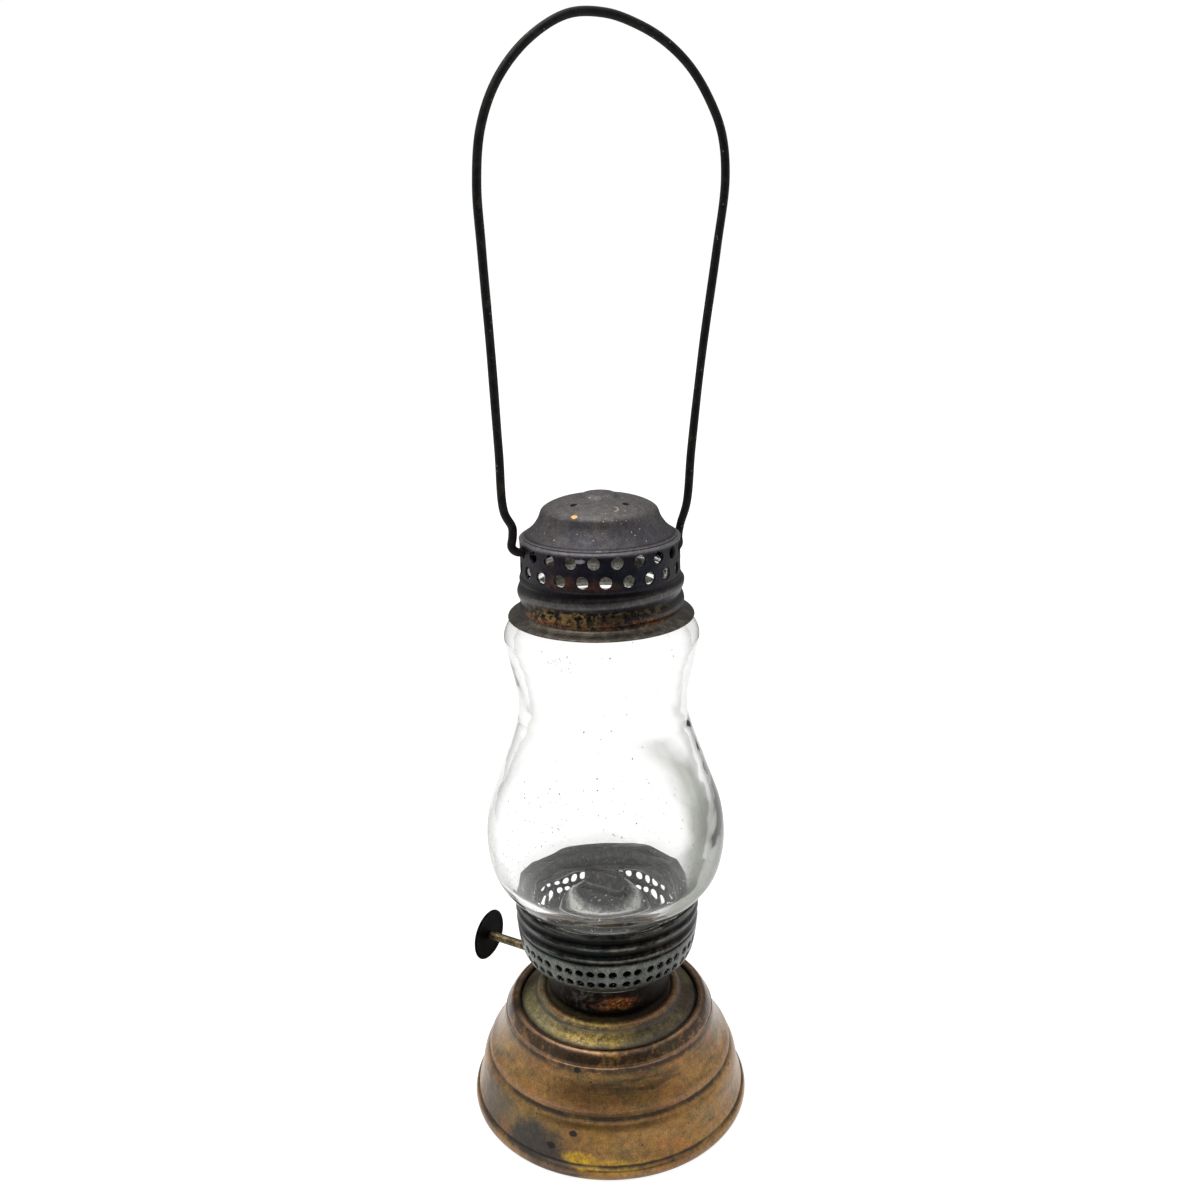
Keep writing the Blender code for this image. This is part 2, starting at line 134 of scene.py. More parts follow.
class Skin:
    """A mesh that is put together from grids of points, then welded."""

    def __init__(self):
        self.points, self.faces, self.paints = [], [], []

    def grid(self, rows, paint=OUTER, close=False):
        """Quads between rows of points. Each row is a ring; close joins the last row to the first."""
        n, m = rows.shape[:2]
        start = sum(len(p) for p in self.points)
        self.points.append(rows.reshape(-1, 3))
        i = np.arange(n if close else n - 1)[:, None]
        j = np.arange(m)[None, :]
        a, b = start + i * m, start + (i + 1) % n * m
        k = (j + 1) % m
        quads = np.stack([a + j, b + j, b + k, a + k], axis=2).reshape(-1, 4)
        self.faces.append(quads)
        self.paints.append(np.full(len(quads), paint))

    def build(self, name, *paints, sharp=SHARP_DEG, place=None):
        mesh = bpy.data.meshes.new(name)
        points = np.vstack(self.points) * MM
        mesh.from_pydata(points.tolist(), [], np.vstack(self.faces).tolist())
        mesh.polygons.foreach_set("material_index", np.concatenate(self.paints).astype(np.int32))
        bm = bmesh.new()
        bm.from_mesh(mesh)
        bmesh.ops.remove_doubles(bm, verts=bm.verts, dist=1e-7)
        bmesh.ops.dissolve_degenerate(bm, edges=bm.edges, dist=1e-8)
        bm.to_mesh(mesh)
        bm.free()
        if place:
            mesh.transform(place)
        mesh.shade_smooth()
        mesh.set_sharp_from_angle(angle=math.radians(sharp))
        for paint in paints:
            mesh.materials.append(paint)
        obj = bpy.data.objects.new(name, mesh)
        bpy.context.scene.collection.objects.link(obj)
        return obj


def lathe(name, line, paint, steps=192, closed=True, shape=None, sharp=SHARP_DEG, place=None):
    """A turned piece."""
    skin = Skin()
    skin.grid(revolve(line, turns(steps), shape), close=closed)
    return skin.build(name, paint, sharp=sharp, place=place)


def carve(obj, cutter_mesh, place):
    """Cuts a closed mesh out of a piece for good."""
    tool = bpy.data.objects.new("cutter", cutter_mesh)
    tool.matrix_world = place
    bpy.context.scene.collection.objects.link(tool)
    cut = obj.modifiers.new("cut", "BOOLEAN")
    cut.object = tool
    cut.solver = "EXACT"
    bpy.context.view_layer.update()
    graph = bpy.context.evaluated_depsgraph_get()
    carved = bpy.data.meshes.new_from_object(obj.evaluated_get(graph), depsgraph=graph)
    obj.modifiers.remove(cut)
    old, obj.data = obj.data, carved
    bpy.data.meshes.remove(old)
    bpy.data.objects.remove(tool)
    carved.set_sharp_from_angle(angle=math.radians(SHARP_DEG))


def rod_mesh(radius, depth):
    bm = bmesh.new()
    bmesh.ops.create_cone(
        bm, cap_ends=True, segments=48, radius1=radius * MM, radius2=radius * MM, depth=depth * MM
    )
    mesh = bpy.data.meshes.new("rod")
    bm.to_mesh(mesh)
    bm.free()
    return mesh


def bar_mesh(width, depth, height, corner=0.3):
    """An upright bar with rounded upright edges."""
    bm = bmesh.new()
    bmesh.ops.create_cube(bm, size=1.0)
    size = Matrix.Diagonal((width * MM, depth * MM, height * MM, 1.0))
    bmesh.ops.transform(bm, matrix=size, verts=bm.verts)
    upright = [e for e in bm.edges if abs(e.verts[0].co.z - e.verts[1].co.z) > height * MM / 2]
    bmesh.ops.bevel(bm, geom=upright, offset=corner * MM, segments=4, affect="EDGES", profile=0.5)
    mesh = bpy.data.meshes.new("bar")
    bm.to_mesh(mesh)
    bm.free()
    return mesh


def wobble(amount, seed):
    """A gentle unevenness for spun sheet: a few low waves round the axis and along the height."""
    rng = np.random.default_rng(seed)
    waves = []
    for _ in range(7):
        waves.append((rng.integers(1, 5), rng.uniform(0, 6.28), rng.uniform(0.1, 0.5), rng.uniform(0, 6.28)))

    def shape(r, z, a):
        push = sum(np.cos(n * a + p) * np.sin(k * z + q) for n, p, k, q in waves)
        return r + amount * (push / len(waves) - 1.0) * np.minimum(1.0, r / 4.0), z

    return shape


# ---------------------------------------------------------------- pierced walls

def ring_points(left, right, low, high, across, up):
    """Points round a rectangle in (angle, height), counter-clockwise from its lower left corner."""
    bottom = [(a, low) for a in np.linspace(left, right, across, endpoint=False)]
    east = [(right, z) for z in np.linspace(low, high, up, endpoint=False)]
    top = [(a, high) for a in np.linspace(right, left, across, endpoint=False)]
    west = [(left, z) for z in np.linspace(high, low, up, endpoint=False)]
    return np.array(bottom + east + top + west)


def pierced_band(skin, radius_at, wall, columns, rows, up=8):
    """Cells of wall, each with one round hole.

    columns is the number of equal steps round the axis that cell edges fall on. Each row is
    (low, high, hole height, hole radius, azimuths in degrees).
    """
    step = math.tau / columns
    for low, high, height, hole, azimuths in rows:
        centres = np.sort(np.radians(azimuths))
        following = np.append(centres[1:], centres[0] + math.tau)
        edges = np.round((centres + following) / 2 / step).astype(int)
        edges = np.append(edges[-1] - columns, edges)
        for centre, first, last in zip(centres, edges[:-1], edges[1:]):
            rim = ring_points(first * step, last * step, low, high, last - first, up)
            scale = np.array([radius_at(height), 1.0])
            offset = (rim - (centre, height)) * scale
            way = offset / np.linalg.norm(offset, axis=1)[:, None]

            def circle(extra):
                return np.array([centre, height]) + way * (hole + extra) / scale

            rings = [
                (rim, 0.0, OUTER),
                ((rim + circle(0.35)) / 2, 0.0, OUTER),
                (circle(0.35), 0.0, OUTER),
                (circle(0.16), -0.045, OUTER),
                (circle(0.05), -0.02, OUTER),
                (circle(0.0), 0.06, OUTER),
                (circle(0.0), wall - 0.05, INNER),
                (circle(0.06), wall, INNER),
                ((rim + circle(0.35)) / 2, wall, INNER),
                (rim, wall, INNER),
            ]
            for (flat_a, deep_a, _), (flat_b, deep_b, paint) in zip(rings[:-1], rings[1:]):
                pair = []
                for flat, deep in ((flat_b, deep_b), (flat_a, deep_a)):
                    a, z = flat[:, 0], flat[:, 1]
                    r = radius_at(z) - deep
                    pair.append(np.column_stack([r * np.cos(a), r * np.sin(a), z]))
                skin.grid(np.array(pair), paint=paint)


# ---------------------------------------------------------------- materials

class Nodes:
    """A node tree. Its helpers take numbers, colours or the outputs of other helpers."""

    def __init__(self, tree):
        self.nodes, self.links = tree.nodes, tree.links

    def feed(self, socket, value):
        if isinstance(value, bpy.types.NodeSocket):
            self.links.new(value, socket)
        elif isinstance(value, (tuple, list)) and len(value) == 3 and socket.type == "RGBA":
            socket.default_value = (*value, 1.0)
        else:
            socket.default_value = value

    def node(self, kind, inputs, **settings):
        made = self.nodes.new(kind)
        for key, value in settings.items():
            setattr(made, key, value)
        for key, value in inputs.items():
            self.feed(made.inputs[key], value)
        return made

    def math(self, operation, *values, clamp=False):
        made = self.node("ShaderNodeMath", dict(enumerate(values)), operation=operation)
        made.use_clamp = clamp
        return made.outputs[0]

    def step(self, value, low, high, start=0.0, end=1.0):
        """start below low, end above high, and smooth in between. low may be the larger."""
        inputs = {"Value": value, "From Min": low, "From Max": high, "To Min": start, "To Max": end}
        return self.node("ShaderNodeMapRange", inputs, interpolation_type="SMOOTHSTEP").outputs[0]

    def mix(self, factor, a, b):
        inputs = {"Value": factor, "To Min": a, "To Max": b}
        return self.node("ShaderNodeMapRange", inputs).outputs[0]


class Paint(Nodes):
    """A node material, and the colour laid on it so far."""

    def __init__(self, name):
        self.material = bpy.data.materials.new(name)
        self.material.use_nodes = True
        super().__init__(self.material.node_tree)
        self.shader = self.nodes["Principled BSDF"]
        local = self.nodes.new("ShaderNodeTexCoord").outputs["Object"]
        self.place = self.vector("SCALE", local, scale=1 / MM)
        split = self.nodes.new("ShaderNodeSeparateXYZ")
        self.feed(split.inputs[0], self.place)
        self.x, self.y, self.z = split.outputs
        squares = self.math("ADD", self.math("POWER", self.x, 2.0), self.math("POWER", self.y, 2.0))
        self.r = self.math("SQRT", squares)
        self.colour = None

    def vector(self, operation, *values, scale=None):
        made = self.node("ShaderNodeVectorMath", dict(enumerate(values)), operation=operation)
        if scale is not None:
            made.inputs["Scale"].default_value = scale
        return made.outputs["Value" if operation in ("LENGTH", "DISTANCE") else "Vector"]

    def noise(self, size, detail=4.0, rough=0.55, place=None, warp=0.0, seed=0.0):
        """Fractal noise from 0 to 1 whose largest features are about size millimetres across."""
        where = self.vector("ADD", place or self.place, (seed * 7.3, seed * 3.1, seed * 5.7))
        inputs = {"Vector": where, "Scale": 1.0 / size, "Detail": detail, "Roughness": rough}
        return self.node("ShaderNodeTexNoise", {**inputs, "Distortion": warp}).outputs["Fac"]

    def streaks(self, length, width, **kinds):
        """Noise drawn out round the lamp's axis: length along the turn and width up the wall."""
        flat = self.node("ShaderNodeCombineXYZ", {"X": self.x, "Y": self.y, "Z": 0.0}).outputs[0]
        turned = self.vector("SCALE", self.vector("NORMALIZE", flat), scale=30.0 / length)
        rise = self.math("DIVIDE", self.z, width)
        lift = self.node("ShaderNodeCombineXYZ", {"X": 0.0, "Y": 0.0, "Z": rise}).outputs[0]
        return self.noise(1.0, place=self.vector("ADD", turned, lift), **kinds)

    def line(self, height, half, value=None):
        """1 at a height, falling to 0 at half above and below it."""
        away = self.math("ABSOLUTE", self.math("SUBTRACT", value or self.z, height))
        return self.step(away, half, half * 0.25)

    def between(self, value, low, high, soft):
        rise = self.step(value, low - soft, low + soft)
        return self.math("MULTIPLY", rise, self.step(value, high + soft, high - soft))

    def spot(self, azimuth, radius, height, size, tall=1.0, edge=0.5, ragged=0.5):
        """A ragged patch round a point of a turned surface; tall stretches it upwards."""
        a = math.radians(azimuth)
        centre = (radius * math.cos(a), radius * math.sin(a), height)
        away = self.vector("SUBTRACT", self.place, centre)
        away = self.vector("MULTIPLY", away, (1.0, 1.0, 1.0 / tall))
        far = self.math("DIVIDE", self.vector("LENGTH", away), size)
        rough = self.math("SUBTRACT", self.noise(size * 0.7, 6.0, 0.65, seed=azimuth), 0.5)
        far = self.math("ADD", far, self.math("MULTIPLY", rough, ragged * 2.0))
        return self.step(far, 1.0 + edge / 2, 1.0 - edge / 2)

    def specks(self, size, share, seed=0.0):
        """Small round dots, and three random values for each to thin them out by.

        size is the distance between cells, and share the radius of a dot against it.
        """
        where = self.vector("ADD", self.place, (seed * 3.3, seed * 1.7, seed * 2.9))
        inputs = {"Vector": where, "Scale": 1.0 / size}
        cell = self.node("ShaderNodeTexVoronoi", inputs)
        luck = self.node("ShaderNodeSeparateColor", {0: cell.outputs["Color"]}).outputs
        return self.step(cell.outputs["Distance"], share, share * 0.6), luck

    def blend(self, factor, a, b, mode="MIX"):
        made = self.node("ShaderNodeMix", {}, data_type="RGBA", blend_type=mode)
        self.feed(made.inputs[0], factor)
        self.feed(made.inputs[6], a)
        self.feed(made.inputs[7], b)
        return made.outputs[2]

    def lay(self, colour, *factors):
        """Lays a colour over the piece's own, as strongly as the product of the factors."""
        self.colour = self.blend(self.times(*factors), self.colour, colour)

    def grain(self, size, amount, seed=0.0):
        """Makes the piece's colour lighter and darker by fine noise; amount is the largest change."""
        fine = self.step(self.noise(size, 4.0, 0.65, seed=seed), 0.32, 0.68)
        change = self.mix(fine, 1.0 - amount, 1.0 + amount)
        self.colour = self.blend(1.0, self.colour, change, "MULTIPLY")

    def times(self, *values):
        product = values[0]
        for value in values[1:]:
            product = self.math("MULTIPLY", product, value)
        return product

    def most(self, *values):
        top = values[0]
        for value in values[1:]:
            top = self.math("MAXIMUM", top, value)
        return top

    def bump(self, height, distance, strength=1.0):
        """Adds a bump layer; distance is in millimetres."""
        inputs = {"Strength": strength, "Distance": distance * MM, "Height": height}
        made = self.node("ShaderNodeBump", inputs)
        normal = self.shader.inputs["Normal"]
        if normal.is_linked:
            self.links.new(normal.links[0].from_socket, made.inputs["Normal"])
        self.links.new(made.outputs[0], normal)

    def set(self, **sockets):
        for name, value in sockets.items():
            self.feed(self.shader.inputs[name.replace("_", " ")], value)


def brass_font():
    """Brown bronze patina on spun brass, with golden wear, dark grooves, stains and pits, painted highlights
    along the rolls, and painted shade on the flank and the foot.
    """
    p = Paint("aged_font_brass")
    broad = p.noise(17.0, 5.0, 0.55, warp=0.6)
    blotch = p.noise(6.0, 8.0, 0.62, warp=0.4, seed=2)
    mottle = p.noise(1.7, 7.0, 0.7, seed=5)
    grain = p.noise(0.35, 3.0, 0.6, seed=9)
    drawn = p.streaks(14.0, 1.6, detail=6.0, rough=0.62, seed=3)

    p.colour = p.blend(p.step(broad, 0.36, 0.62), (0.168, 0.088, 0.034), (0.245, 0.134, 0.046))
    p.lay((0.25, 0.148, 0.04), p.step(blotch, 0.5, 0.68), 0.75)
    p.lay((0.12, 0.098, 0.05), p.step(p.noise(9.0, 5.0, 0.6, seed=7), 0.54, 0.7), 0.6)
    p.lay((0.205, 0.088, 0.04), p.step(p.noise(5.0, 6.0, 0.6, seed=12), 0.57, 0.7), 0.55)
    p.lay((0.045, 0.031, 0.02), p.step(drawn, 0.5, 0.72), 0.55)
    p.lay((0.03, 0.021, 0.015), p.step(mottle, 0.54, 0.7), 0.6)
    cloud = p.step(p.noise(13.0, 6.0, 0.62, warp=0.8, seed=44), 0.5, 0.66)
    p.lay((0.032, 0.025, 0.02), cloud, p.step(mottle, 0.3, 0.55), 0.3)
    warm = p.times(p.step(p.noise(7.0, 6.0, 0.6, warp=0.5, seed=52), 0.54, 0.66), 0.5)
    p.lay((0.285, 0.112, 0.036), warm)
    olive = p.times(p.step(p.noise(5.5, 7.0, 0.66, warp=0.4, seed=71), 0.53, 0.63), 0.55)
    p.lay((0.088, 0.078, 0.036), olive)
    flecks = p.times(p.step(p.noise(0.9, 6.0, 0.72, seed=73), 0.6, 0.68), p.step(broad, 0.62, 0.42), 0.7)
    p.lay((0.026, 0.02, 0.016), flecks)

    # The lower band is yellower, and its left side carries a blue-black stain.
    low = p.step(p.z, 15.0, 12.0)
    p.lay((0.225, 0.118, 0.026), low, p.step(blotch, 0.4, 0.62), 0.55)
    left = p.spot(-133.0, 33.2, 11.0, 9.0, tall=0.5, edge=0.9, ragged=0.6)
    p.lay((0.15, 0.105, 0.032), left, 0.5)
    stain = p.spot(-124.0, 34.4, 6.2, 8.5, tall=0.62, edge=0.7, ragged=0.75)
    ends = p.spot(-112.0, 34.8, 2.8, 7.0, tall=0.5, edge=0.6, ragged=0.8)
    far_left = p.spot(-152.0, 34.0, 8.0, 9.0, tall=0.7, edge=1.0, ragged=0.7)
    stain = p.most(stain, p.times(ends, 0.8), p.times(far_left, 0.7))
    p.lay(p.blend(mottle, (0.01, 0.013, 0.018), (0.05, 0.043, 0.035)), stain, 0.92)
    # A thin dark band across the front of the flank: painted shadow.
    shadow = p.streaks(11.0, 1.3, detail=5.0, seed=21)
    flank_shadow = p.spot(-76.0, 28.2, 21.2, 11.0, tall=0.16, edge=0.9, ragged=0.35)
    p.lay((0.038, 0.029, 0.022), flank_shadow, p.step(shadow, 0.36, 0.6), 0.75)
    gold = p.spot(-103.0, 34.8, 4.9, 4.4, tall=0.42, edge=0.7, ragged=0.7)
    trail = p.spot(-88.0, 34.9, 3.9, 9.0, tall=0.16, edge=0.8, ragged=0.7)
    gold = p.most(gold, p.times(trail, 0.55))
    gilt = p.blend(p.step(mottle, 0.4, 0.62), (0.56, 0.33, 0.018), (0.24, 0.15, 0.03))
    p.lay(gilt, gold, 0.85)

    # Grooves and the seam hold black dirt, and the foot's underside gets the same dark as painted shade;
    # rolls and edges get pinkish gold painted highlights.
    ragged = p.math("ADD", p.z, p.times(p.math("SUBTRACT", p.noise(2.2, 5.0, 0.6, seed=4), 0.5), 0.6))
    # The line at 0.2 mm darkens the underside of the foot: painted shade.
    groove = p.most(p.line(14.8, 1.15, ragged), p.line(3.75, 0.75, ragged), p.line(0.2, 0.9, ragged))
    groove = p.most(groove, p.times(p.line(24.9, 0.6, ragged), 0.5))
    seam = p.step(p.r, 24.1, 23.3)
    seam = p.times(seam, p.step(p.z, 26.0, 27.0))
    groove = p.times(p.most(groove, seam), p.mix(p.step(p.noise(6.0, 4.0, seed=15), 0.35, 0.55), 0.55, 1.0))
    p.lay((0.014, 0.011, 0.009), groove, 0.86)
    soil = p.times(p.between(p.z, 24.0, 29.5, 0.8), p.step(p.noise(3.4, 7.0, 0.7, seed=31), 0.34, 0.52))
    p.lay((0.028, 0.019, 0.014), soil, 0.88)
    # Pinkish gold lines along the rolls and edges: painted highlights.
    roll_highlight = p.most(p.line(16.1, 0.8, ragged), p.line(25.75, 0.55, ragged), p.line(2.2, 0.8))
    roll_highlight = p.most(roll_highlight, p.times(p.line(28.75, 0.5, ragged), 0.8))
    roll_highlight = p.times(roll_highlight, p.step(p.streaks(16.0, 3.0, seed=8), 0.34, 0.58))
    p.lay((0.285, 0.165, 0.095), roll_highlight, 0.55)

    # Pits: three black dots on the front, and smaller ones strewn about.
    p.grain(1.5, 0.16, seed=61)
    p.grain(0.35, 0.24, seed=9)
    dots = [
        (-115.7, 34.2, 7.0, 1.05),
        (-106.2, 33.2, 11.2, 0.95),
        (-107.2, 27.0, 24.6, 0.9),
        (-100.0, 28.0, 22.3, 0.35),
    ]
    pits = p.most(*[p.spot(*dot, tall=0.8) for dot in dots])
    small, tint = p.specks(2.3, 0.13, seed=4)
    rare = p.times(small, p.step(tint[0], 0.72, 0.76))
    pits = p.most(pits, p.times(rare, 0.85))
    p.lay((0.008, 0.007, 0.006), pits, 0.95)

    dull = p.most(stain, groove, pits)
    rough = p.mix(p.noise(3.0, 5.0, 0.6, seed=6), 0.22, 0.42)
    rough = p.math("ADD", rough, p.times(dull, 0.2))
    p.set(Base_Color=p.colour, Roughness=rough, Metallic=p.mix(dull, 0.86, 0.45))
    p.set(Coat_Weight=0.15, Coat_Roughness=0.2, Specular_IOR_Level=0.15)
    p.bump(p.noise(9.0, 2.0, 0.4, seed=14), 0.55, 0.35)
    p.bump(p.streaks(22.0, 0.55, detail=5.0, rough=0.6, seed=17), 0.05, 0.6)
    p.bump(p.math("ADD", mottle, p.times(grain, 0.6)), 0.045, 0.7)
    p.bump(p.math("SUBTRACT", 1.0, pits), 0.06, 0.8)
    return p.material


def brass_cover():
    """The font's top annulus: olive and gold, black round the neck and in the seam."""
    p = Paint("olive_font_brass")
    broad = p.noise(8.0, 6.0, 0.6, warp=0.5, seed=1)
    mottle = p.noise(1.5, 7.0, 0.7, seed=3)
    grain = p.noise(0.3, 3.0, 0.6, seed=6)
    drawn = p.streaks(12.0, 1.2, detail=5.0, seed=5)
    p.colour = p.blend(p.step(broad, 0.38, 0.62), (0.05, 0.036, 0.022), (0.105, 0.086, 0.045))
    p.lay((0.13, 0.082, 0.042), p.step(mottle, 0.52, 0.7), 0.55)
    front = p.spot(-104.0, 19.5, 30.0, 9.5, edge=1.0, ragged=0.7)
    left = p.spot(-152.0, 20.0, 29.6, 10.0, edge=1.0, ragged=0.6)
    p.lay((0.42, 0.29, 0.07), front, p.step(mottle, 0.36, 0.6), 0.75)
    p.lay((0.3, 0.265, 0.13), left, 0.45)
    p.lay((0.022, 0.017, 0.013), p.step(drawn, 0.5, 0.72), 0.65)
    # The bead ring is laid in a lighter pinkish copper: a painted highlight.
    bead = p.between(p.r, 16.2, 18.5, 0.3)
    p.lay((0.15, 0.078, 0.038), bead, p.step(p.streaks(12.0, 4.0, seed=9), 0.34, 0.56), 0.8)
    under = p.most(p.line(18.95, 0.55, p.r), p.step(p.r, 16.7, 16.1))
    edge = p.times(p.step(p.r, 21.5, 22.8), p.mix(p.noise(2.5, 5.0, seed=11), 0.4, 1.3))
    dark = p.most(p.times(under, 0.8), edge)
    p.lay((0.022, 0.017, 0.014), dark, 0.9)
    small, tint = p.specks(1.7, 0.15, seed=2)
    rare = p.times(small, p.step(tint[0], 0.62, 0.66))
    p.lay((0.02, 0.016, 0.014), rare, 0.85)
    p.grain(1.2, 0.25, seed=61)
    p.grain(0.32, 0.34, seed=9)
    p.set(Base_Color=p.colour, Roughness=p.mix(mottle, 0.34, 0.58), Metallic=p.mix(dark, 0.8, 0.3))
    p.bump(p.streaks(20.0, 0.5, detail=5.0, seed=17), 0.05, 0.5)
    p.bump(p.math("ADD", mottle, p.times(grain, 0.6)), 0.05, 0.8)
    return p.material


def neck_brass():
    """The burner's drum: nearly black, with rust and copper showing at the front."""
    p = Paint("neck_brass")
    mottle = p.noise(2.2, 7.0, 0.68, seed=2)
    drawn = p.streaks(9.0, 1.0, detail=6.0, seed=4)
    grain = p.noise(0.3, 3.0, 0.6, seed=6)
    p.colour = p.blend(p.step(mottle, 0.4, 0.64), (0.003, 0.0024, 0.0022), (0.012, 0.008, 0.006))
    worn = p.spot(-84.0, 15.8, 35.6, 5.0, tall=0.34, edge=1.0, ragged=0.9)
    p.lay((0.15, 0.04, 0.012), worn, p.step(drawn, 0.4, 0.6), 0.95)
    p.lay((0.2, 0.105, 0.026), worn, p.step(p.noise(0.9, 5.0, seed=8), 0.52, 0.62), 0.9)
    pale = p.spot(-118.0, 15.8, 37.0, 7.0, tall=0.5, edge=0.9, ragged=0.7)
    p.lay((0.065, 0.06, 0.056), pale, p.step(mottle, 0.48, 0.64), 0.7)
    # A pale ring on the drum's top roll: a painted highlight.
    ring = p.between(p.z, 39.9, 40.9, 0.15)
    p.lay((0.2, 0.175, 0.145), ring, p.step(drawn, 0.36, 0.56), 0.85)
    foot = p.step(p.z, 34.6, 32.4)
    p.lay((0.004, 0.0035, 0.0035), foot, 0.85)
    p.grain(0.4, 0.4, seed=9)
    p.set(Base_Color=p.colour, Roughness=p.mix(mottle, 0.26, 0.5), Metallic=0.8, Specular_IOR_Level=0.15)
    p.bump(p.streaks(16.0, 0.5, detail=5.0, seed=17), 0.05, 0.5)
    p.bump(p.math("ADD", mottle, grain), 0.05, 0.6)
    return p.material


def gallery_brass():
    """The gallery's outside: dark threads, and a lighter grey-green pierced band."""
    p = Paint("gallery_brass")
    mottle = p.noise(2.4, 7.0, 0.68, seed=3)
    broad = p.noise(9.0, 4.0, 0.55, seed=1)
    grain = p.noise(0.28, 3.0, 0.62, seed=6)
    drawn = p.streaks(10.0, 0.9, detail=6.0, seed=5)
    threads = p.blend(p.step(mottle, 0.4, 0.64), (0.006, 0.006, 0.006), (0.025, 0.024, 0.022))
    threads = p.blend(p.times(p.step(drawn, 0.52, 0.68), 0.7), threads, (0.006, 0.006, 0.006))
    olive = p.spot(-68.0, 23.0, 54.0, 9.0, tall=0.5, edge=1.0, ragged=0.8)
    threads = p.blend(p.times(olive, p.step(mottle, 0.42, 0.62), 0.7), threads, (0.06, 0.048, 0.03))
    teal = p.times(p.spot(-118.0, 22.8, 53.0, 10.0, tall=0.6, edge=1.0, ragged=0.8), p.step(broad, 0.4, 0.6))
    threads = p.blend(p.times(teal, 0.55), threads, (0.02, 0.034, 0.033))
    sieve = p.blend(p.step(broad, 0.38, 0.62), (0.06, 0.066, 0.061), (0.106, 0.111, 0.098))
    sieve = p.blend(p.times(p.step(mottle, 0.52, 0.7), 0.5), sieve, (0.028, 0.031, 0.031))
    band = p.step(p.z, 51.4, 50.7)
    p.colour = p.blend(band, threads, sieve)
    dark = p.most(p.line(57.4, 1.0), p.line(54.2, 1.0), p.times(p.line(51.75, 0.3), 0.9))
    dark = p.times(dark, p.mix(p.noise(4.0, 4.0, seed=9), 0.7, 1.2))
    p.lay((0.001, 0.001, 0.001), dark, 0.97)
    # Light lines along the thread crests: painted highlights.
    crest_highlight = p.most(p.line(59.35, 0.45), p.line(55.95, 0.6), p.line(52.75, 0.45))
    crest_highlight = p.times(crest_highlight, p.step(p.streaks(10.0, 2.0, detail=5.0, seed=12), 0.42, 0.62))
    p.lay((0.15, 0.142, 0.125), crest_highlight, 0.6)
    low = p.step(p.z, 44.2, 42.6)
    p.lay((0.02, 0.019, 0.018), low, p.step(mottle, 0.36, 0.6), 0.6)
    p.grain(1.1, 0.28, seed=61)
    p.grain(0.3, 0.4, seed=9)
    p.set(Base_Color=p.colour, Roughness=p.mix(mottle, 0.22, 0.42), Metallic=0.9, Specular_IOR_Level=0.2)
    p.bump(p.streaks(20.0, 0.5, detail=5.0, seed=17), 0.05, 0.5)
    p.bump(p.math("ADD", mottle, p.times(grain, 0.8)), 0.05, 0.8)
    return p.material


def dusty_brass(name, light, dark, dust=0.6, soot_and_shade_top=44.2, flame_soot=0.0):
    """Brass inside the burner: sooty, with grey dust and pale specks of lint; darker low down, as sooty dirt
    and painted shade, with painted highlights on the thread crests.
    """
    p = Paint(name)
    mottle = p.noise(2.4, 7.0, 0.68, seed=3)
    grain = p.noise(0.3, 3.0, 0.62, seed=6)
    p.colour = p.blend(p.step(mottle, 0.38, 0.66), dark, light)
    p.lay(dark, p.step(p.streaks(9.0, 1.4, detail=5.0, seed=5), 0.5, 0.7), 0.6)
    fine, tint = p.specks(1.0, 0.28, seed=1)
    keep = p.step(tint[1], 0.62, 0.66)
    bits, _ = p.specks(2.4, 0.11, seed=5)
    lint = p.most(p.times(fine, keep, 0.8), bits)
    # Darker low down: sooty dirt, and painted shade where little light gets in.
    soot_and_shade = p.step(p.z, soot_and_shade_top, soot_and_shade_top - 1.3)
    p.lay((0.006, 0.006, 0.006), soot_and_shade, 0.9)
    p.lay((0.01, 0.012, 0.015), p.step(p.r, 5.6, 3.6), flame_soot)
    bands = p.most(p.line(57.6, 0.9), p.line(54.3, 0.9), p.line(51.6, 0.5))
    p.lay(tuple(0.15 * c for c in dark), bands)
    # Light lines on the thread crests: painted highlights.
    bright = p.most(p.line(59.3, 0.5), p.line(56.0, 0.7), p.line(52.8, 0.7))
    p.lay(tuple(2.6 * c for c in light), bright, 0.7)
    p.grain(1.3, 0.35, seed=61)
    p.grain(0.35, 0.4, seed=9)
    p.lay((0.74, 0.74, 0.7), lint, dust)
    p.set(Base_Color=p.colour, Roughness=p.mix(mottle, 0.45, 0.7), Metallic=0.35, Specular_IOR_Level=0.08)
    p.bump(p.math("ADD", mottle, p.times(grain, 0.8)), 0.06, 0.8)
    return p.material


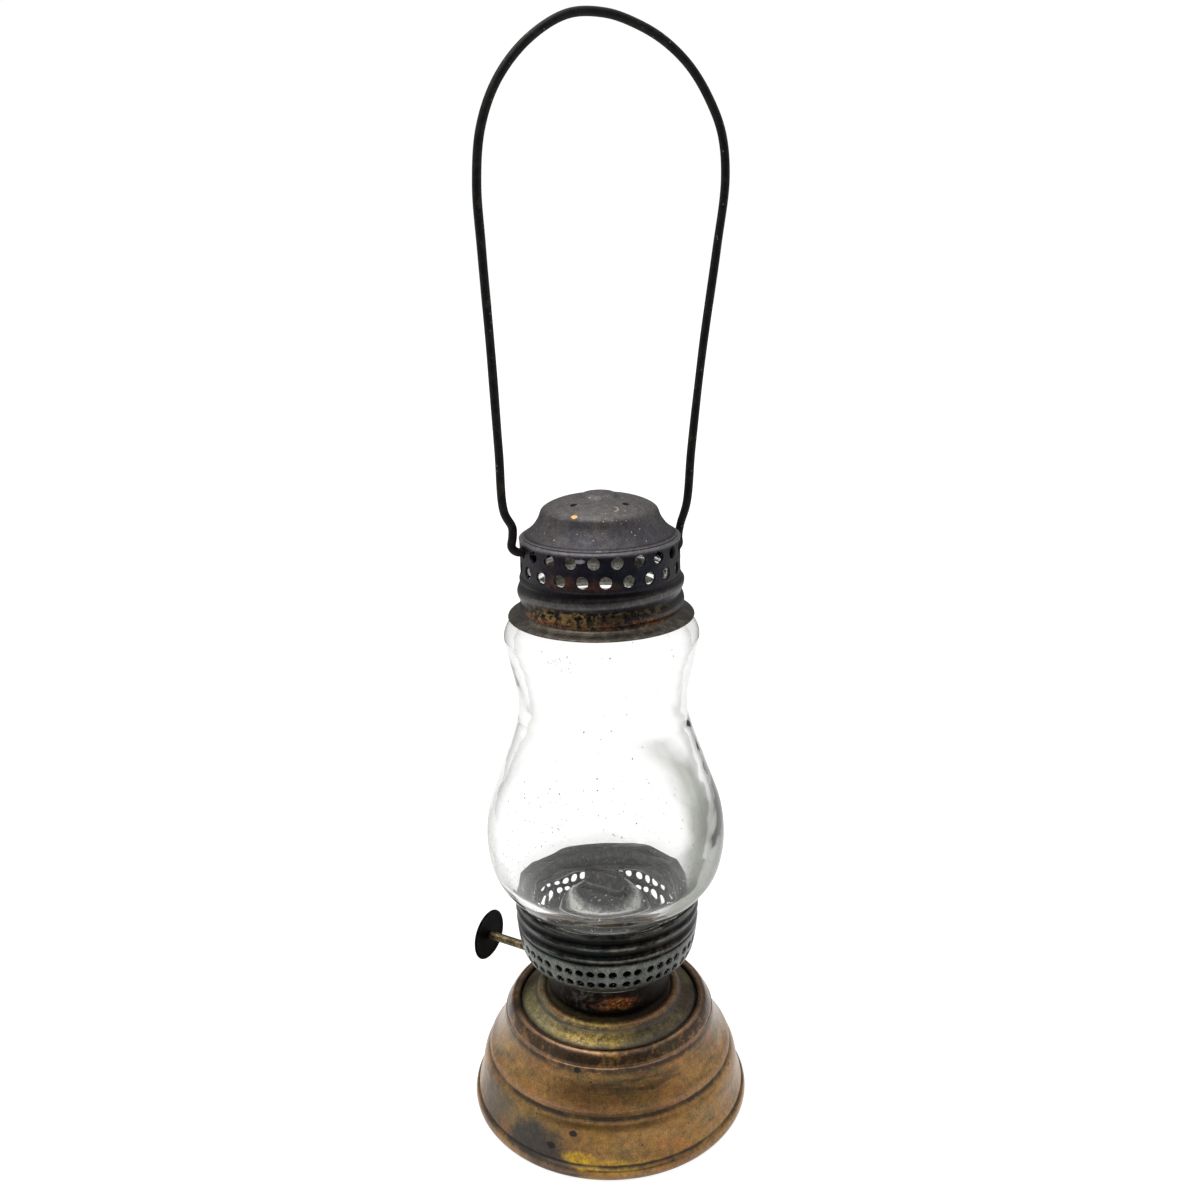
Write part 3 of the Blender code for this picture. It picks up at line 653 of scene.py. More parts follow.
def cap_brass():
    """The cap: smoked brown-black with a violet cast, pale specks, and brass worn bare in its thread."""
    p = Paint("cap_brass")
    broad = p.noise(10.0, 4.0, 0.55, seed=1)
    mottle = p.noise(2.2, 7.0, 0.68, seed=3)
    grain = p.noise(0.25, 3.0, 0.62, seed=6)
    drawn = p.streaks(9.0, 0.9, detail=6.0, seed=5)
    p.colour = p.blend(p.step(broad, 0.38, 0.62), (0.04, 0.037, 0.044), (0.062, 0.056, 0.056))
    p.lay((0.032, 0.03, 0.036), p.step(mottle, 0.5, 0.7), 0.5)
    top = p.step(p.z, 157.6, 159.0)
    p.lay((0.094, 0.088, 0.085), top, 0.75)

    # The pierced band is almost black with blue and plum in it, browned near its lower edge.
    band = p.between(p.z, 143.2, 151.0, 0.25)
    inky = p.blend(p.step(broad, 0.42, 0.6), (0.006, 0.008, 0.013), (0.011, 0.007, 0.013))
    inky = p.blend(p.times(p.step(mottle, 0.5, 0.66), 0.6), inky, (0.02, 0.017, 0.022))
    p.lay(inky, band, 0.92)
    rust = p.spot(-96.0, 18.7, 144.2, 5.2, tall=0.4, edge=1.0)
    rust = p.most(rust, p.spot(-117.0, 18.7, 144.6, 4.0, tall=0.45, edge=1.0))
    p.lay((0.08, 0.032, 0.018), rust, p.step(mottle, 0.36, 0.6), 0.6)

    # The screw thread: grey painted highlights on the crests, black roots, gold and rust on the front of the
    # lower turn.
    thread = p.step(p.z, 143.2, 142.8)
    root = p.step(p.r, 19.52, 19.12)
    root = p.times(root, thread, p.step(p.z, 134.2, 135.4))
    under = p.blend(p.step(mottle, 0.4, 0.64), (0.007, 0.006, 0.007), (0.026, 0.022, 0.023))
    p.lay(under, thread, 0.8)
    p.lay((0.005, 0.0045, 0.005), root, 0.9)
    crest_highlight = p.times(thread, p.step(p.r, 19.5, 19.66), p.step(p.z, 135.6, 137.2), p.mix(drawn, 0.5, 1.2))
    p.lay((0.12, 0.114, 0.11), crest_highlight, 0.7)
    arc = p.math("ARCTAN2", p.y, p.x)
    facing = p.between(arc, math.radians(-150.0), math.radians(-38.0), 0.25)
    lower = p.between(p.z, 134.8, 138.6, 0.5)
    torn = p.step(p.noise(1.5, 7.0, 0.7, seed=14), 0.47, 0.56)
    fading = p.mix(p.step(arc, math.radians(-98.0), math.radians(-86.0)), 1.0, 0.3)
    gilt = p.times(facing, lower, torn, fading)
    p.lay((0.2, 0.13, 0.05), gilt, 0.75)
    orange = p.times(facing, p.between(p.z, 134.5, 136.4, 0.5))
    p.lay((0.215, 0.072, 0.016), orange, p.step(p.noise(1.3, 6.0, 0.7, seed=24), 0.5, 0.58), 0.8)
    flange = p.step(p.z, 135.0, 134.2)
    skirt = p.blend(p.step(mottle, 0.4, 0.64), (0.046, 0.039, 0.031), (0.098, 0.086, 0.068))
    p.lay(skirt, flange, 0.9)
    p.lay((0.015, 0.013, 0.013), p.step(p.z, 132.95, 132.75), 0.9)

    seam = p.most(p.line(152.45, 0.4), p.times(p.line(151.1, 0.25), 0.5), p.line(143.0, 0.55))
    p.lay((0.015, 0.013, 0.016), seam, 0.85)
    bead = p.between(p.z, 151.4, 152.4, 0.2)
    p.lay((0.15, 0.138, 0.15), bead, 0.5)

    p.grain(1.4, 0.22, seed=61)
    p.grain(0.3, 0.3, seed=9)

    # Pale specks, a rubbed gold mark and a scratch on the dome, and a scratch on the band.
    fine, tint = p.specks(0.8, 0.17, seed=1)
    keep = p.step(tint[1], 0.72, 0.76)
    big, hue = p.specks(2.2, 0.07, seed=3)
    keep_big = p.step(hue[0], 0.5, 0.55)
    clumps = p.step(p.noise(6.0, 3.0, seed=19), 0.42, 0.6)
    lint = p.most(p.times(fine, keep, p.mix(clumps, 0.35, 1.0)), p.times(big, keep_big))
    lint = p.times(lint, p.step(p.z, 150.0, 152.5))
    p.lay((0.6, 0.59, 0.55), lint, 0.85)
    mark = p.spot(-116.0, 12.6, 158.7, 0.75, tall=0.5, edge=0.5, ragged=0.7)
    p.lay((0.56, 0.33, 0.11), mark)
    ring = p.math("ABSOLUTE", p.math("SUBTRACT", p.vector("DISTANCE", p.place, (3.1, -9.4, 159.9)), 1.1))
    crescent = p.times(p.step(ring, 0.3, 0.12), p.step(p.x, 3.1, 3.7))
    p.lay((0.34, 0.3, 0.23), crescent, 0.6)
    scratch = p.spot(-104.0, 18.7, 150.2, 1.3, tall=0.35, edge=0.6, ragged=0.8)
    p.lay((0.33, 0.32, 0.37), scratch, 0.7)

    dark_metal = p.most(band, thread)
    rough = p.math("SUBTRACT", p.mix(mottle, 0.42, 0.62), p.times(dark_metal, 0.12))
    p.set(Base_Color=p.colour, Roughness=rough, Metallic=p.mix(dark_metal, 0.62, 0.85))
    p.set(Specular_IOR_Level=0.25)
    p.bump(p.noise(7.0, 2.0, 0.4, seed=11), 0.5, 0.3)
    p.bump(p.math("ADD", mottle, p.times(grain, 0.8)), 0.05, 0.8)
    return p.material


def inner_brass(name, colour=(0.16, 0.12, 0.07)):
    """Pieces that stay inside: dull, sooty brass."""
    p = Paint(name)
    mottle = p.noise(2.6, 7.0, 0.66, seed=3)
    dark = tuple(0.35 * c for c in colour)
    shade = p.blend(p.step(mottle, 0.38, 0.64), dark, colour)
    shade = p.blend(p.times(p.step(p.noise(0.9, 4.0, seed=8), 0.56, 0.7), 0.6), shade, (0.03, 0.026, 0.022))
    p.set(Base_Color=shade, Roughness=p.mix(mottle, 0.35, 0.62), Metallic=0.8)
    p.bump(mottle, 0.06, 0.7)
    return p.material


def black_wire():
    """Black oxidised wire with dull rust freckles and pale rubs."""
    p = Paint("black_wire_finish")
    mottle = p.noise(2.0, 6.0, 0.65, seed=2)
    grain = p.noise(0.3, 4.0, 0.65, seed=5)
    p.colour = p.blend(p.step(mottle, 0.4, 0.66), (0.0022, 0.002, 0.002), (0.0075, 0.0068, 0.0062))
    p.lay((0.022, 0.015, 0.012), p.step(p.noise(3.6, 7.0, 0.7, seed=8), 0.58, 0.66), 0.7)
    small, tint = p.specks(1.2, 0.15, seed=2)
    rare = p.times(small, p.step(tint[0], 0.7, 0.74))
    p.lay((0.2, 0.19, 0.17), rare, 0.6)
    p.set(Base_Color=p.colour, Roughness=p.mix(grain, 0.36, 0.58), Metallic=0.15, Specular_IOR_Level=0.14)
    p.bump(p.math("ADD", mottle, grain), 0.045, 0.8)
    return p.material


def wheel_black():
    """The thumbwheel: black-brown oxide with a lighter rim, a painted highlight."""
    p = Paint("wheel_finish")
    mottle = p.noise(1.8, 6.0, 0.65, seed=2)
    grain = p.noise(0.25, 3.0, 0.6, seed=4)
    p.colour = p.blend(p.step(mottle, 0.38, 0.66), (0.0012, 0.0011, 0.0011), (0.0045, 0.0038, 0.0034))
    middle = tuple(float(v) / MM for v in WHEEL_CENTRE)
    away = p.vector("DISTANCE", p.place, middle)
    # A lighter broken line round the rim: a painted highlight.
    rim = p.times(p.step(away, WHEEL_R - 0.55, WHEEL_R - 0.15), p.step(p.noise(1.1, 4.0, seed=6), 0.42, 0.6))
    p.lay((0.03, 0.022, 0.015), rim, 0.5)
    p.set(Base_Color=p.colour, Roughness=p.mix(mottle, 0.48, 0.7), Metallic=0.2, Specular_IOR_Level=0.05)
    p.bump(p.math("ADD", mottle, grain), 0.05, 0.8)
    return p.material


def shaft_brass():
    p = Paint("shaft_finish")
    mottle = p.noise(1.6, 6.0, 0.68, seed=2)
    p.colour = p.blend(p.step(mottle, 0.42, 0.6), (0.06, 0.048, 0.028), (0.19, 0.14, 0.07))
    p.lay((0.02, 0.017, 0.014), p.step(p.noise(0.8, 5.0, seed=5), 0.52, 0.62), 0.7)
    p.set(Base_Color=p.colour, Roughness=p.mix(mottle, 0.26, 0.48), Metallic=0.9)
    p.bump(mottle, 0.05, 0.7)
    return p.material


def cotton():
    """Flat woven wick: ribs along its length, a finer cross weave, and a charred top."""
    p = Paint("wick_cotton")
    across = p.vector("MULTIPLY", p.place, (math.cos(SHAFT_TURN), math.sin(SHAFT_TURN), 0.0))
    split = p.node("ShaderNodeSeparateXYZ", {0: across}).outputs
    along = p.math("ADD", split[0], split[1])
    ribs = p.math("ABSOLUTE", p.math("SINE", p.times(along, 5.2)))
    weave = p.math("ABSOLUTE", p.math("SINE", p.times(p.z, 6.5)))
    cloth = p.blend(p.noise(2.0, 5.0, seed=1), (0.42, 0.36, 0.26), (0.62, 0.55, 0.42))
    cloth = p.blend(p.times(p.math("SUBTRACT", 1.0, ribs), 0.5), cloth, (0.2, 0.16, 0.11))
    char = p.step(p.math("ADD", p.z, p.times(p.noise(1.5, 5.0, seed=3), 2.0)), 59.5, 63.2)
    p.colour = p.blend(p.times(char, 0.95), cloth, (0.012, 0.011, 0.011))
    p.set(Base_Color=p.colour, Roughness=0.95, Sheen_Weight=0.3)
    p.bump(p.math("ADD", ribs, p.times(weave, 0.5)), 0.12, 0.9)
    return p.material


def clear_glass():
    """Old pressed glass: faintly green, with dust, seeds, and scuffs under the cap, and painted shade at its
    edges.
    """
    p = Paint("lamp_glass")
    # The clear colour turns dark grey where the glass is seen edge-on, and over a wider band on the right of
    # the belly: painted shade.
    facing = p.node("ShaderNodeLayerWeight", {"Blend": 0.5}).outputs["Facing"]
    rim = p.times(p.step(facing, 0.45, 0.95), 0.8)
    wide = p.step(facing, 0.24, 0.55)
    right = p.step(p.x, 4.0, 17.0)
    belly = p.between(p.z, 59.0, 92.0, 7.0)
    right_belly = p.times(right, belly)
    depth = p.most(rim, p.times(right_belly, wide))
    depth = p.times(depth, p.mix(p.noise(9.0, 3.0, 0.5, seed=2), 0.75, 1.25))
    p.set(Base_Color=p.blend(depth, (0.995, 0.996, 0.993), (0.14, 0.15, 0.12)))
    p.set(Roughness=0.0, IOR=1.5, Transmission_Weight=1.0, Specular_Tint=(0.55, 0.55, 0.55))
    p.bump(p.noise(16.0, 2.0, 0.4, seed=3), 0.5, 0.35)

    # Dust lies on the glass as a separate thin coat. The same coat lays dark grey painted shade where the
    # glass is seen edge-on, on the right of the belly and on the left side.
    fine, tint = p.specks(1.7, 0.13, seed=1)
    low = p.step(p.z, 80.0, 72.0)
    share = p.mix(low, 0.93, 0.2)
    dust = p.times(fine, p.math("GREATER_THAN", tint[0], share))
    bits, hue = p.specks(7.5, 0.03, seed=6)
    dust = p.most(dust, p.times(bits, p.step(hue[1], 0.3, 0.35)))
    scuff = p.spot(-116.0, 22.6, 127.0, 3.8, tall=0.45, edge=0.8, ragged=0.8)
    scuff = p.times(scuff, p.step(p.noise(0.75, 5.0, 0.7, seed=9), 0.6, 0.64))
    film = p.times(p.step(p.noise(12.0, 4.0, 0.6, seed=12), 0.45, 0.7), 0.01)
    # A dark grey band where the right of the belly is seen edge-on: painted shade.
    reach = p.mix(p.step(p.z, 92.0, 62.0), 0.66, 0.36)
    right_edge_shade = p.times(p.step(p.math("SUBTRACT", facing, reach), -0.03, 0.06), right)
    right_edge_shade = p.times(right_edge_shade, p.between(p.z, 60.0, 94.0, 5.0), p.mix(p.step(facing, 0.5, 0.8), 0.1, 0.42))
    # A faint dark grey band where the left side is seen edge-on: painted shade.
    edge = p.times(p.step(facing, 0.74, 0.9), p.step(p.x, -6.0, -14.0), p.between(p.z, 60.0, 84.0, 5.0))
    edge = p.times(edge, 0.22)
    foot = p.times(p.step(p.z, 64.0, 60.5), 0.12)
    coat = p.most(p.times(dust, 0.85), p.times(scuff, 0.85), film, right_edge_shade, edge, foot)
    grey = p.nodes.new("ShaderNodeBsdfDiffuse")
    pale = p.times(p.step(p.most(right_edge_shade, edge), 0.02, 0.0), p.most(low, p.times(film, 40.0)))
    p.feed(grey.inputs["Color"], p.blend(pale, (0.07, 0.07, 0.065), (0.82, 0.82, 0.79)))
    cover = p.nodes.new("ShaderNodeMixShader")
    p.feed(cover.inputs[0], coat)
    p.links.new(p.shader.outputs[0], cover.inputs[1])
    p.links.new(grey.outputs[0], cover.inputs[2])
    p.links.new(cover.outputs[0], p.nodes["Material Output"].inputs["Surface"])
    return p.material


# ---------------------------------------------------------------- font

def make_font_side():
    base_r = span("font_side")[2]
    outer = outline(
        [(23.15, 27.2), (23.2, 27.95), (23.6, 28.5), (24.35, 28.8), (25.2, 28.4), (26.0, 27.4), (26.6, 26.2),
         (26.8, 25.65)],
        [(27.05, 25.5), (27.15, 25.1)],
        [(27.35, 24.2), (28.0, 22.0), (28.85, 20.0), (29.95, 18.0), (30.9, 16.75), (31.5, 16.0),
         (31.75, 15.5)],
        [(31.5, 15.05), (31.45, 14.75), (31.75, 14.35)],
        [(32.5, 13.5), (33.1, 12.2), (33.55, 10.2), (33.95, 8.0), (34.45, 6.0), (34.95, 4.3), (35.0, 3.95)],
        [(34.85, 3.75), (35.05, 3.55)],
        [(35.65, 3.1), (base_r - 0.02, 1.9), (35.85, 1.05), (35.35, 0.3), (34.7, 0.02)],
        [(34.05, 0.05)],
        [(33.95, 1.2), (33.95, 3.2)],
    )
    inner = outline(
        [(33.95, 3.2), (33.1, 6.5), (32.2, 11.0), (30.9, 13.8), (29.3, 16.6), (27.3, 20.0), (26.1, 24.4),
         (24.9, 26.6), (23.15, 27.2)]
    )
    line = np.vstack([outer, inner[1:-1]])
    side = lathe("font_wall", line, brass_font(), steps=288, shape=wobble(0.07, 3))
    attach(side, "font")
    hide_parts("font_side")


def make_font_top():
    seam_r = span("font_top")[2]
    outer = outline(
        [(seam_r, 26.95), (seam_r, 27.5)],
        [(22.6, 28.0), (22.1, 28.4), (20.8, 29.1), (19.6, 29.6), (18.95, 29.95), (18.6, 30.5), (18.1, 31.15),
         (17.3, 31.5), (16.6, 31.35), (16.25, 30.95)],
        [(12.5, 30.95)],
        [(12.5, 29.65)],
        [(16.9, 29.6), (20.0, 28.5), (seam_r, 26.95)],
    )
    top = lathe("font_shoulder_plate", outer[::-1][1:], brass_cover(), steps=240, shape=wobble(0.04, 5))
    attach(top, "font")
    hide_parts("font_top")


def make_font_bushing():
    low, high, radius = span("font_bushing")
    bore = span("burner_spigot")[2] + 0.3
    ring = outline(
        [(radius - 0.2, high), (radius, high - 0.2)], [(radius, low + 0.2)],
        [(radius - 0.2, low)], [(bore, low)],
        [(bore, high)], [(radius - 0.2, high)],
    )
    bushing = lathe("font_screw_bushing", ring[:-1], inner_brass("font_inside_brass"), steps=144)
    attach(bushing, "font")
    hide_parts("font_bushing")


def make_font_bottom():
    low, high, radius = span("font_bottom")
    plate = outline(
        [(0.0, 2.0), (14.0, 2.02)], [(14.8, 1.75), (15.6, 2.0)], [(31.4, 2.0)],
        [(32.6, 2.2), (radius, high)], [(radius, low + 0.4)],
        [(32.2, 1.25), (31.4, 1.2)], [(15.9, 1.2)],
        [(14.8, 0.95), (13.7, 1.22)], [(0.0, 1.2)], step=0.8,
    )
    dark = inner_brass("font_bottom_brass", (0.12, 0.085, 0.055))
    bottom = lathe("font_bottom_plate", plate, dark, steps=144, closed=False)
    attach(bottom, "font")
    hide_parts("font_bottom")


# ---------------------------------------------------------------- burner

NECK_R = span("burner_neck")[2] - 1.7
GALLERY_WALL = 0.55
GALLERY_COLUMNS = 392
GALLERY_HOLE_R = 1.02
GALLERY_ROWS_Z = (48.6, 45.4)
GALLERY_GROUPS = (6, 2, 4, 4, 6, 4, 5, 4, 6, 4, 4)
GALLERY_GAP_DEG = 8.7
GALLERY_FIRST_GAP_DEG = -126.5

SHAFT_JOINT = next(j for j in frame["record"]["behaviour"]["joints"] if j["name"] == "wick_turn")
SHAFT_TURN = math.radians(150.0)
SHAFT_ORIGIN = Vector(SHAFT_JOINT["pos_m"])
TURNED = Matrix.Rotation(SHAFT_TURN, 4, "Z")
SHAFT_FRAME = Matrix.Translation(SHAFT_ORIGIN) @ TURNED @ Matrix.Rotation(math.pi / 2, 4, "Y")
WHEEL_R = 6.75
WHEEL_REACH = 35.15
WHEEL_CENTRE = SHAFT_FRAME @ Vector((0.0, 0.0, WHEEL_REACH * MM))


def gallery_columns():
    """The azimuths of the pierced columns, which stand in groups with a wider gap after each."""
    spacing = 360.0 - GALLERY_GAP_DEG * len(GALLERY_GROUPS)
    pitch = spacing / (sum(GALLERY_GROUPS) - len(GALLERY_GROUPS))
    azimuth = GALLERY_FIRST_GAP_DEG + GALLERY_GAP_DEG / 2
    columns = []
    for size in GALLERY_GROUPS:
        columns += [azimuth + pitch * k for k in range(size)]
        azimuth = columns[-1] + GALLERY_GAP_DEG
    return columns


def make_gallery():
    top = span("gallery")[1]
    outside = outline(
        [(22.55, top - 0.25), (22.75, top), (23.1, top), (23.38, top - 0.35), (23.42, 58.8), (23.15, 58.2),
         (22.78, 57.6), (22.8, 57.1), (23.15, 56.5), (23.3, 55.95), (23.12, 55.3), (22.68, 54.6),
         (22.62, 54.15), (22.85, 53.5), (23.15, 52.85), (23.1, 52.3), (22.98, 51.95)],
        [(22.82, 51.75), (22.98, 51.5)],
        [(22.95, 50.6), (22.75, 49.2), (22.5, 47.6), (22.2, 46.0), (21.85, 44.8), (21.45, 43.8),
         (20.9, 43.0), (20.2, 42.35), (19.4, 41.9), (18.6, 41.65), (18.0, 41.6)],
        [(12.4, 41.6)],
        step=0.25,
    )
    band_top, band_middle, band_low = 50.5, 47.0, 43.9
    upper = outside[outside[:, 1] > band_top]
    lower = outside[(outside[:, 1] < band_low) | (outside[:, 0] < 20.0)]

    def radius_at(z):
        falling = outside[outside[:, 0] > 20.0]
        return np.interp(z, falling[::-1, 1], falling[::-1, 0])

    edge_top = np.array([[radius_at(band_top), band_top]])
    edge_low = np.array([[radius_at(band_low), band_low]])
    angles = np.arange(GALLERY_COLUMNS) * math.tau / GALLERY_COLUMNS
    skin = Skin()
    upper = np.vstack([upper, edge_top])
    lower = np.vstack([edge_low, lower])
    inner_upper = inside(upper, GALLERY_WALL)
    inner_upper[-1] = edge_top[0] - (GALLERY_WALL, 0.0)
    inner_lower = inside(lower, GALLERY_WALL)
    inner_lower[0] = edge_low[0] - (GALLERY_WALL, 0.0)
    skin.grid(revolve(upper, angles))
    skin.grid(revolve(np.vstack([inner_upper[::-1], upper[:1]]), angles), paint=INNER)
    skin.grid(revolve(lower, angles))
    skin.grid(revolve(np.vstack([lower[-1:], inner_lower[::-1]]), angles), paint=INNER)
    columns = gallery_columns()
    rows = [
        (band_middle, band_top, GALLERY_ROWS_Z[0], GALLERY_HOLE_R, columns),
        (band_low, band_middle, GALLERY_ROWS_Z[1], GALLERY_HOLE_R, columns),
    ]
    pierced_band(skin, radius_at, GALLERY_WALL, GALLERY_COLUMNS, rows)
    inside_paint = dusty_brass("gallery_inside", (0.19, 0.192, 0.172), (0.038, 0.04, 0.04))
    gallery = skin.build("globe_gallery", gallery_brass(), inside_paint)
    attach(gallery, "burner")
    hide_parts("gallery")


def make_neck():
    foot, top, _ = span("burner_neck")
    line = outline(
        [(16.5, top - 0.02), (17.1, top - 0.05), (17.45, 40.5), (17.4, 40.05), (16.9, 39.75)],
        [(16.2, 39.5), (NECK_R + 0.05, 38.9), (NECK_R, 37.5)],
        [(NECK_R, 33.2), (NECK_R - 0.15, 32.4), (NECK_R - 0.6, foot)],
        [(9.75, foot)],
        [(9.75, foot + 0.6)],
        [(14.6, foot + 0.6), (15.2, foot + 1.1), (15.2, 39.4), (16.2, 40.3), (16.5, top - 0.02)],
    )
    neck = lathe("burner_drum", line[:-1], neck_brass(), steps=216, shape=wobble(0.03, 8))
    carve(neck, rod_mesh(2.4, 6.0), SHAFT_FRAME @ Matrix.Translation((0, 0, NECK_R * MM)))
    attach(neck, "burner")
    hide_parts("burner_neck")


def make_shaft_bush():
    bush = outline(
        [(1.45, 16.6), (1.85, 16.6)], [(2.1, 16.35)], [(2.1, 13.6)],
        [(1.9, 13.4)], [(1.45, 13.4)], [(1.45, 16.6)], step=0.2,
    )
    brass = inner_brass("burner_inside_brass", (0.2, 0.15, 0.08))
    bearing = lathe("shaft_bearing", bush[:-1], brass, steps=64, place=SHAFT_FRAME)
    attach(bearing, "burner")
    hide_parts("shaft_bush")


def make_spigot():
    low, high, radius = span("burner_spigot")
    pitch = 1.5

    def thread(r, z, a):
        wave = 0.5 + 0.5 * np.cos(math.tau * (z / pitch - a / math.tau))
        cut = np.clip((z - low - 1.6) / 0.8, 0, 1) * np.clip((30.4 - z) / 0.6, 0, 1) * (r > radius - 0.3)
        return r - 0.35 * wave * cut, z

    tube = outline(
        [(radius - 0.05, high), (radius, high - 0.3)], [(radius, low + 0.3)],
        [(radius - 0.3, low)], [(radius - 0.9, low)],
        [(radius - 0.9, high)], [(radius - 0.05, high)], step=0.12,
    )
    paint = inner_brass("spigot_brass", (0.3, 0.21, 0.1))
    spigot = lathe("burner_screw_spigot", tube[:-1], paint, steps=160, shape=thread)
    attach(spigot, "burner")
    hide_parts("burner_spigot")


def rounded(w, t, corner):
    """A rounded rectangle, counter-clockwise, with seven points on each corner's arc."""
    points = []
    for right, up, start in ((1, 1, 0), (-1, 1, 90), (-1, -1, 180), (1, -1, 270)):
        for k in range(7):
            a = math.radians(start + 15 * k)
            x = right * (w - corner) + corner * math.cos(a)
            points.append((x, up * (t - corner) + corner * math.sin(a)))
    return np.array(points)


def make_deflector():
    light, dark = (0.52, 0.525, 0.5), (0.28, 0.282, 0.272)
    grey = dusty_brass("deflector_dust", light, dark, dust=0.9, soot_and_shade_top=49.0, flame_soot=0.92)
    outside = outline(
        [(3.4, 58.0), (5.0, 57.95), (7.0, 57.3), (9.6, 55.7), (11.7, 53.0), (12.8, 50.2), (13.3, 47.5),
         (13.7, 45.6), (14.15, 44.3)]
    )
    dome = lathe("flame_deflector", sheet(outside, 0.5), grey, steps=180)
    slot = bar_mesh(13.8, 6.2, 7.0, corner=3.0)
    carve(dome, slot, TURNED @ Matrix.Translation((0, 0, 58.0 * MM)))
    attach(dome, "burner")
    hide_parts("deflector")


def make_wick_tube():
    low, high, _ = span("wick_tube")
    half_w, half_t, wall = 5.5, 1.7, 0.4
    rows = []
    lip = [(0.0, high - 0.15), (-0.12, high), (-wall + 0.12, high), (-wall, high - 0.15)]
    heights = list(np.linspace(low, high - 0.15, 40))
    for grow, z in [(0.0, h) for h in heights] + lip[1:] + [(-wall, h) for h in heights[::-1]]:
        ring = rounded(half_w + grow, half_t + grow, 0.9 + grow)
        rows.append(np.column_stack([ring, np.full(len(ring), z)]))
    skin = Skin()
    skin.grid(np.array(rows)[:, ::-1], close=True)
    brass = dusty_brass("wick_tube_brass", (0.15, 0.14, 0.12), (0.06, 0.056, 0.05), dust=0.35)
    tube = skin.build("flat_wick_tube", brass, place=TURNED)
    offset, height = 2.2, SHAFT_ORIGIN.z / MM
    for along in (-2.5, 2.5):
        place = TURNED @ Matrix.Translation(Vector((along, offset, height)) * MM)
        carve(tube, bar_mesh(1.5, 2.0, 5.0, corner=0.2), place)
    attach(tube, "burner")
    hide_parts("wick_tube")


def make_wick():
    """A flat woven strip, ribbed along its length, and frayed at the top."""
    low, high, _ = span("wick")
    half_w, half_t = 4.8, 1.0
    rows = []
    rng = np.random.default_rng(12)
    for z in np.append(np.arange(low, high - 0.6, 0.25), [high - 0.6, high - 0.3, high - 0.12, high - 0.05]):
        close = max(0.0, (z - (high - 0.6)) / 0.55)
        ring = rounded(half_w - 0.35 * close, half_t - 0.45 * close, 0.5)
        rib = 0.05 * np.abs(np.sin(ring[:, 0] * 5.2)) + 0.03 * math.sin(z * 6.5)
        ring[:, 1] -= np.sign(ring[:, 1]) * rib
        ragged = rng.uniform(-0.12, 0.0, len(ring)) * close
        rows.append(np.column_stack([ring, np.full(len(ring), z) + ragged]))
    rows.insert(0, np.tile([[0.0, 0.0, low]], (len(rows[0]), 1)))
    rows.append(np.tile([[0.0, 0.0, high - 0.05]], (len(rows[0]), 1)))
    skin = Skin()
    skin.grid(np.array(rows)[::-1])
    wick = skin.build("flat_wick", cotton(), place=TURNED)
    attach(wick, "wick")
    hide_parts("wick")


def make_wick_shaft():
    reach = WHEEL_REACH
    rod = outline(
        [(0.0, reach - 0.4), (1.0, reach - 0.4)], [(1.15, reach - 0.6)],
        [(1.15, -13.4)], [(0.95, -13.6)], [(0.0, -13.6)], step=0.5,
    )
    shaft = lathe("wick_winder_shaft", rod, shaft_brass(), steps=40, closed=False, place=SHAFT_FRAME)
    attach(shaft, "wick_shaft")
    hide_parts("wick_shaft")


def make_thumbwheel():
    reach = WHEEL_REACH
    face = outline(
        [(0.0, reach + 0.55), (1.6, reach + 0.5)],
        [(2.1, reach + 0.3), (4.8, reach + 0.22), (5.7, reach + 0.35), (6.25, reach + 0.33),
         (WHEEL_R, reach)],
        [(6.3, reach - 0.32), (5.8, reach - 0.3), (4.8, reach - 0.22), (0.0, reach - 0.3)],
        step=0.15,
    )
    wheel = lathe("wick_thumbwheel", face, wheel_black(), steps=160, closed=False, place=SHAFT_FRAME)
    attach(wheel, "wick_shaft")
    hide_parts("thumbwheel")


# ---------------------------------------------------------------- globe

THREAD_PITCH = 4.8
THREAD_CREST_Z = 141.4


def thread_wave(z, a):
    """1 on the cap's screw thread and 0 in its groove, at height z and angle a."""
    phase = (z - THREAD_CREST_Z - THREAD_PITCH * a / math.tau) / THREAD_PITCH
    return (0.5 + 0.5 * np.cos(math.tau * phase)) ** 0.75


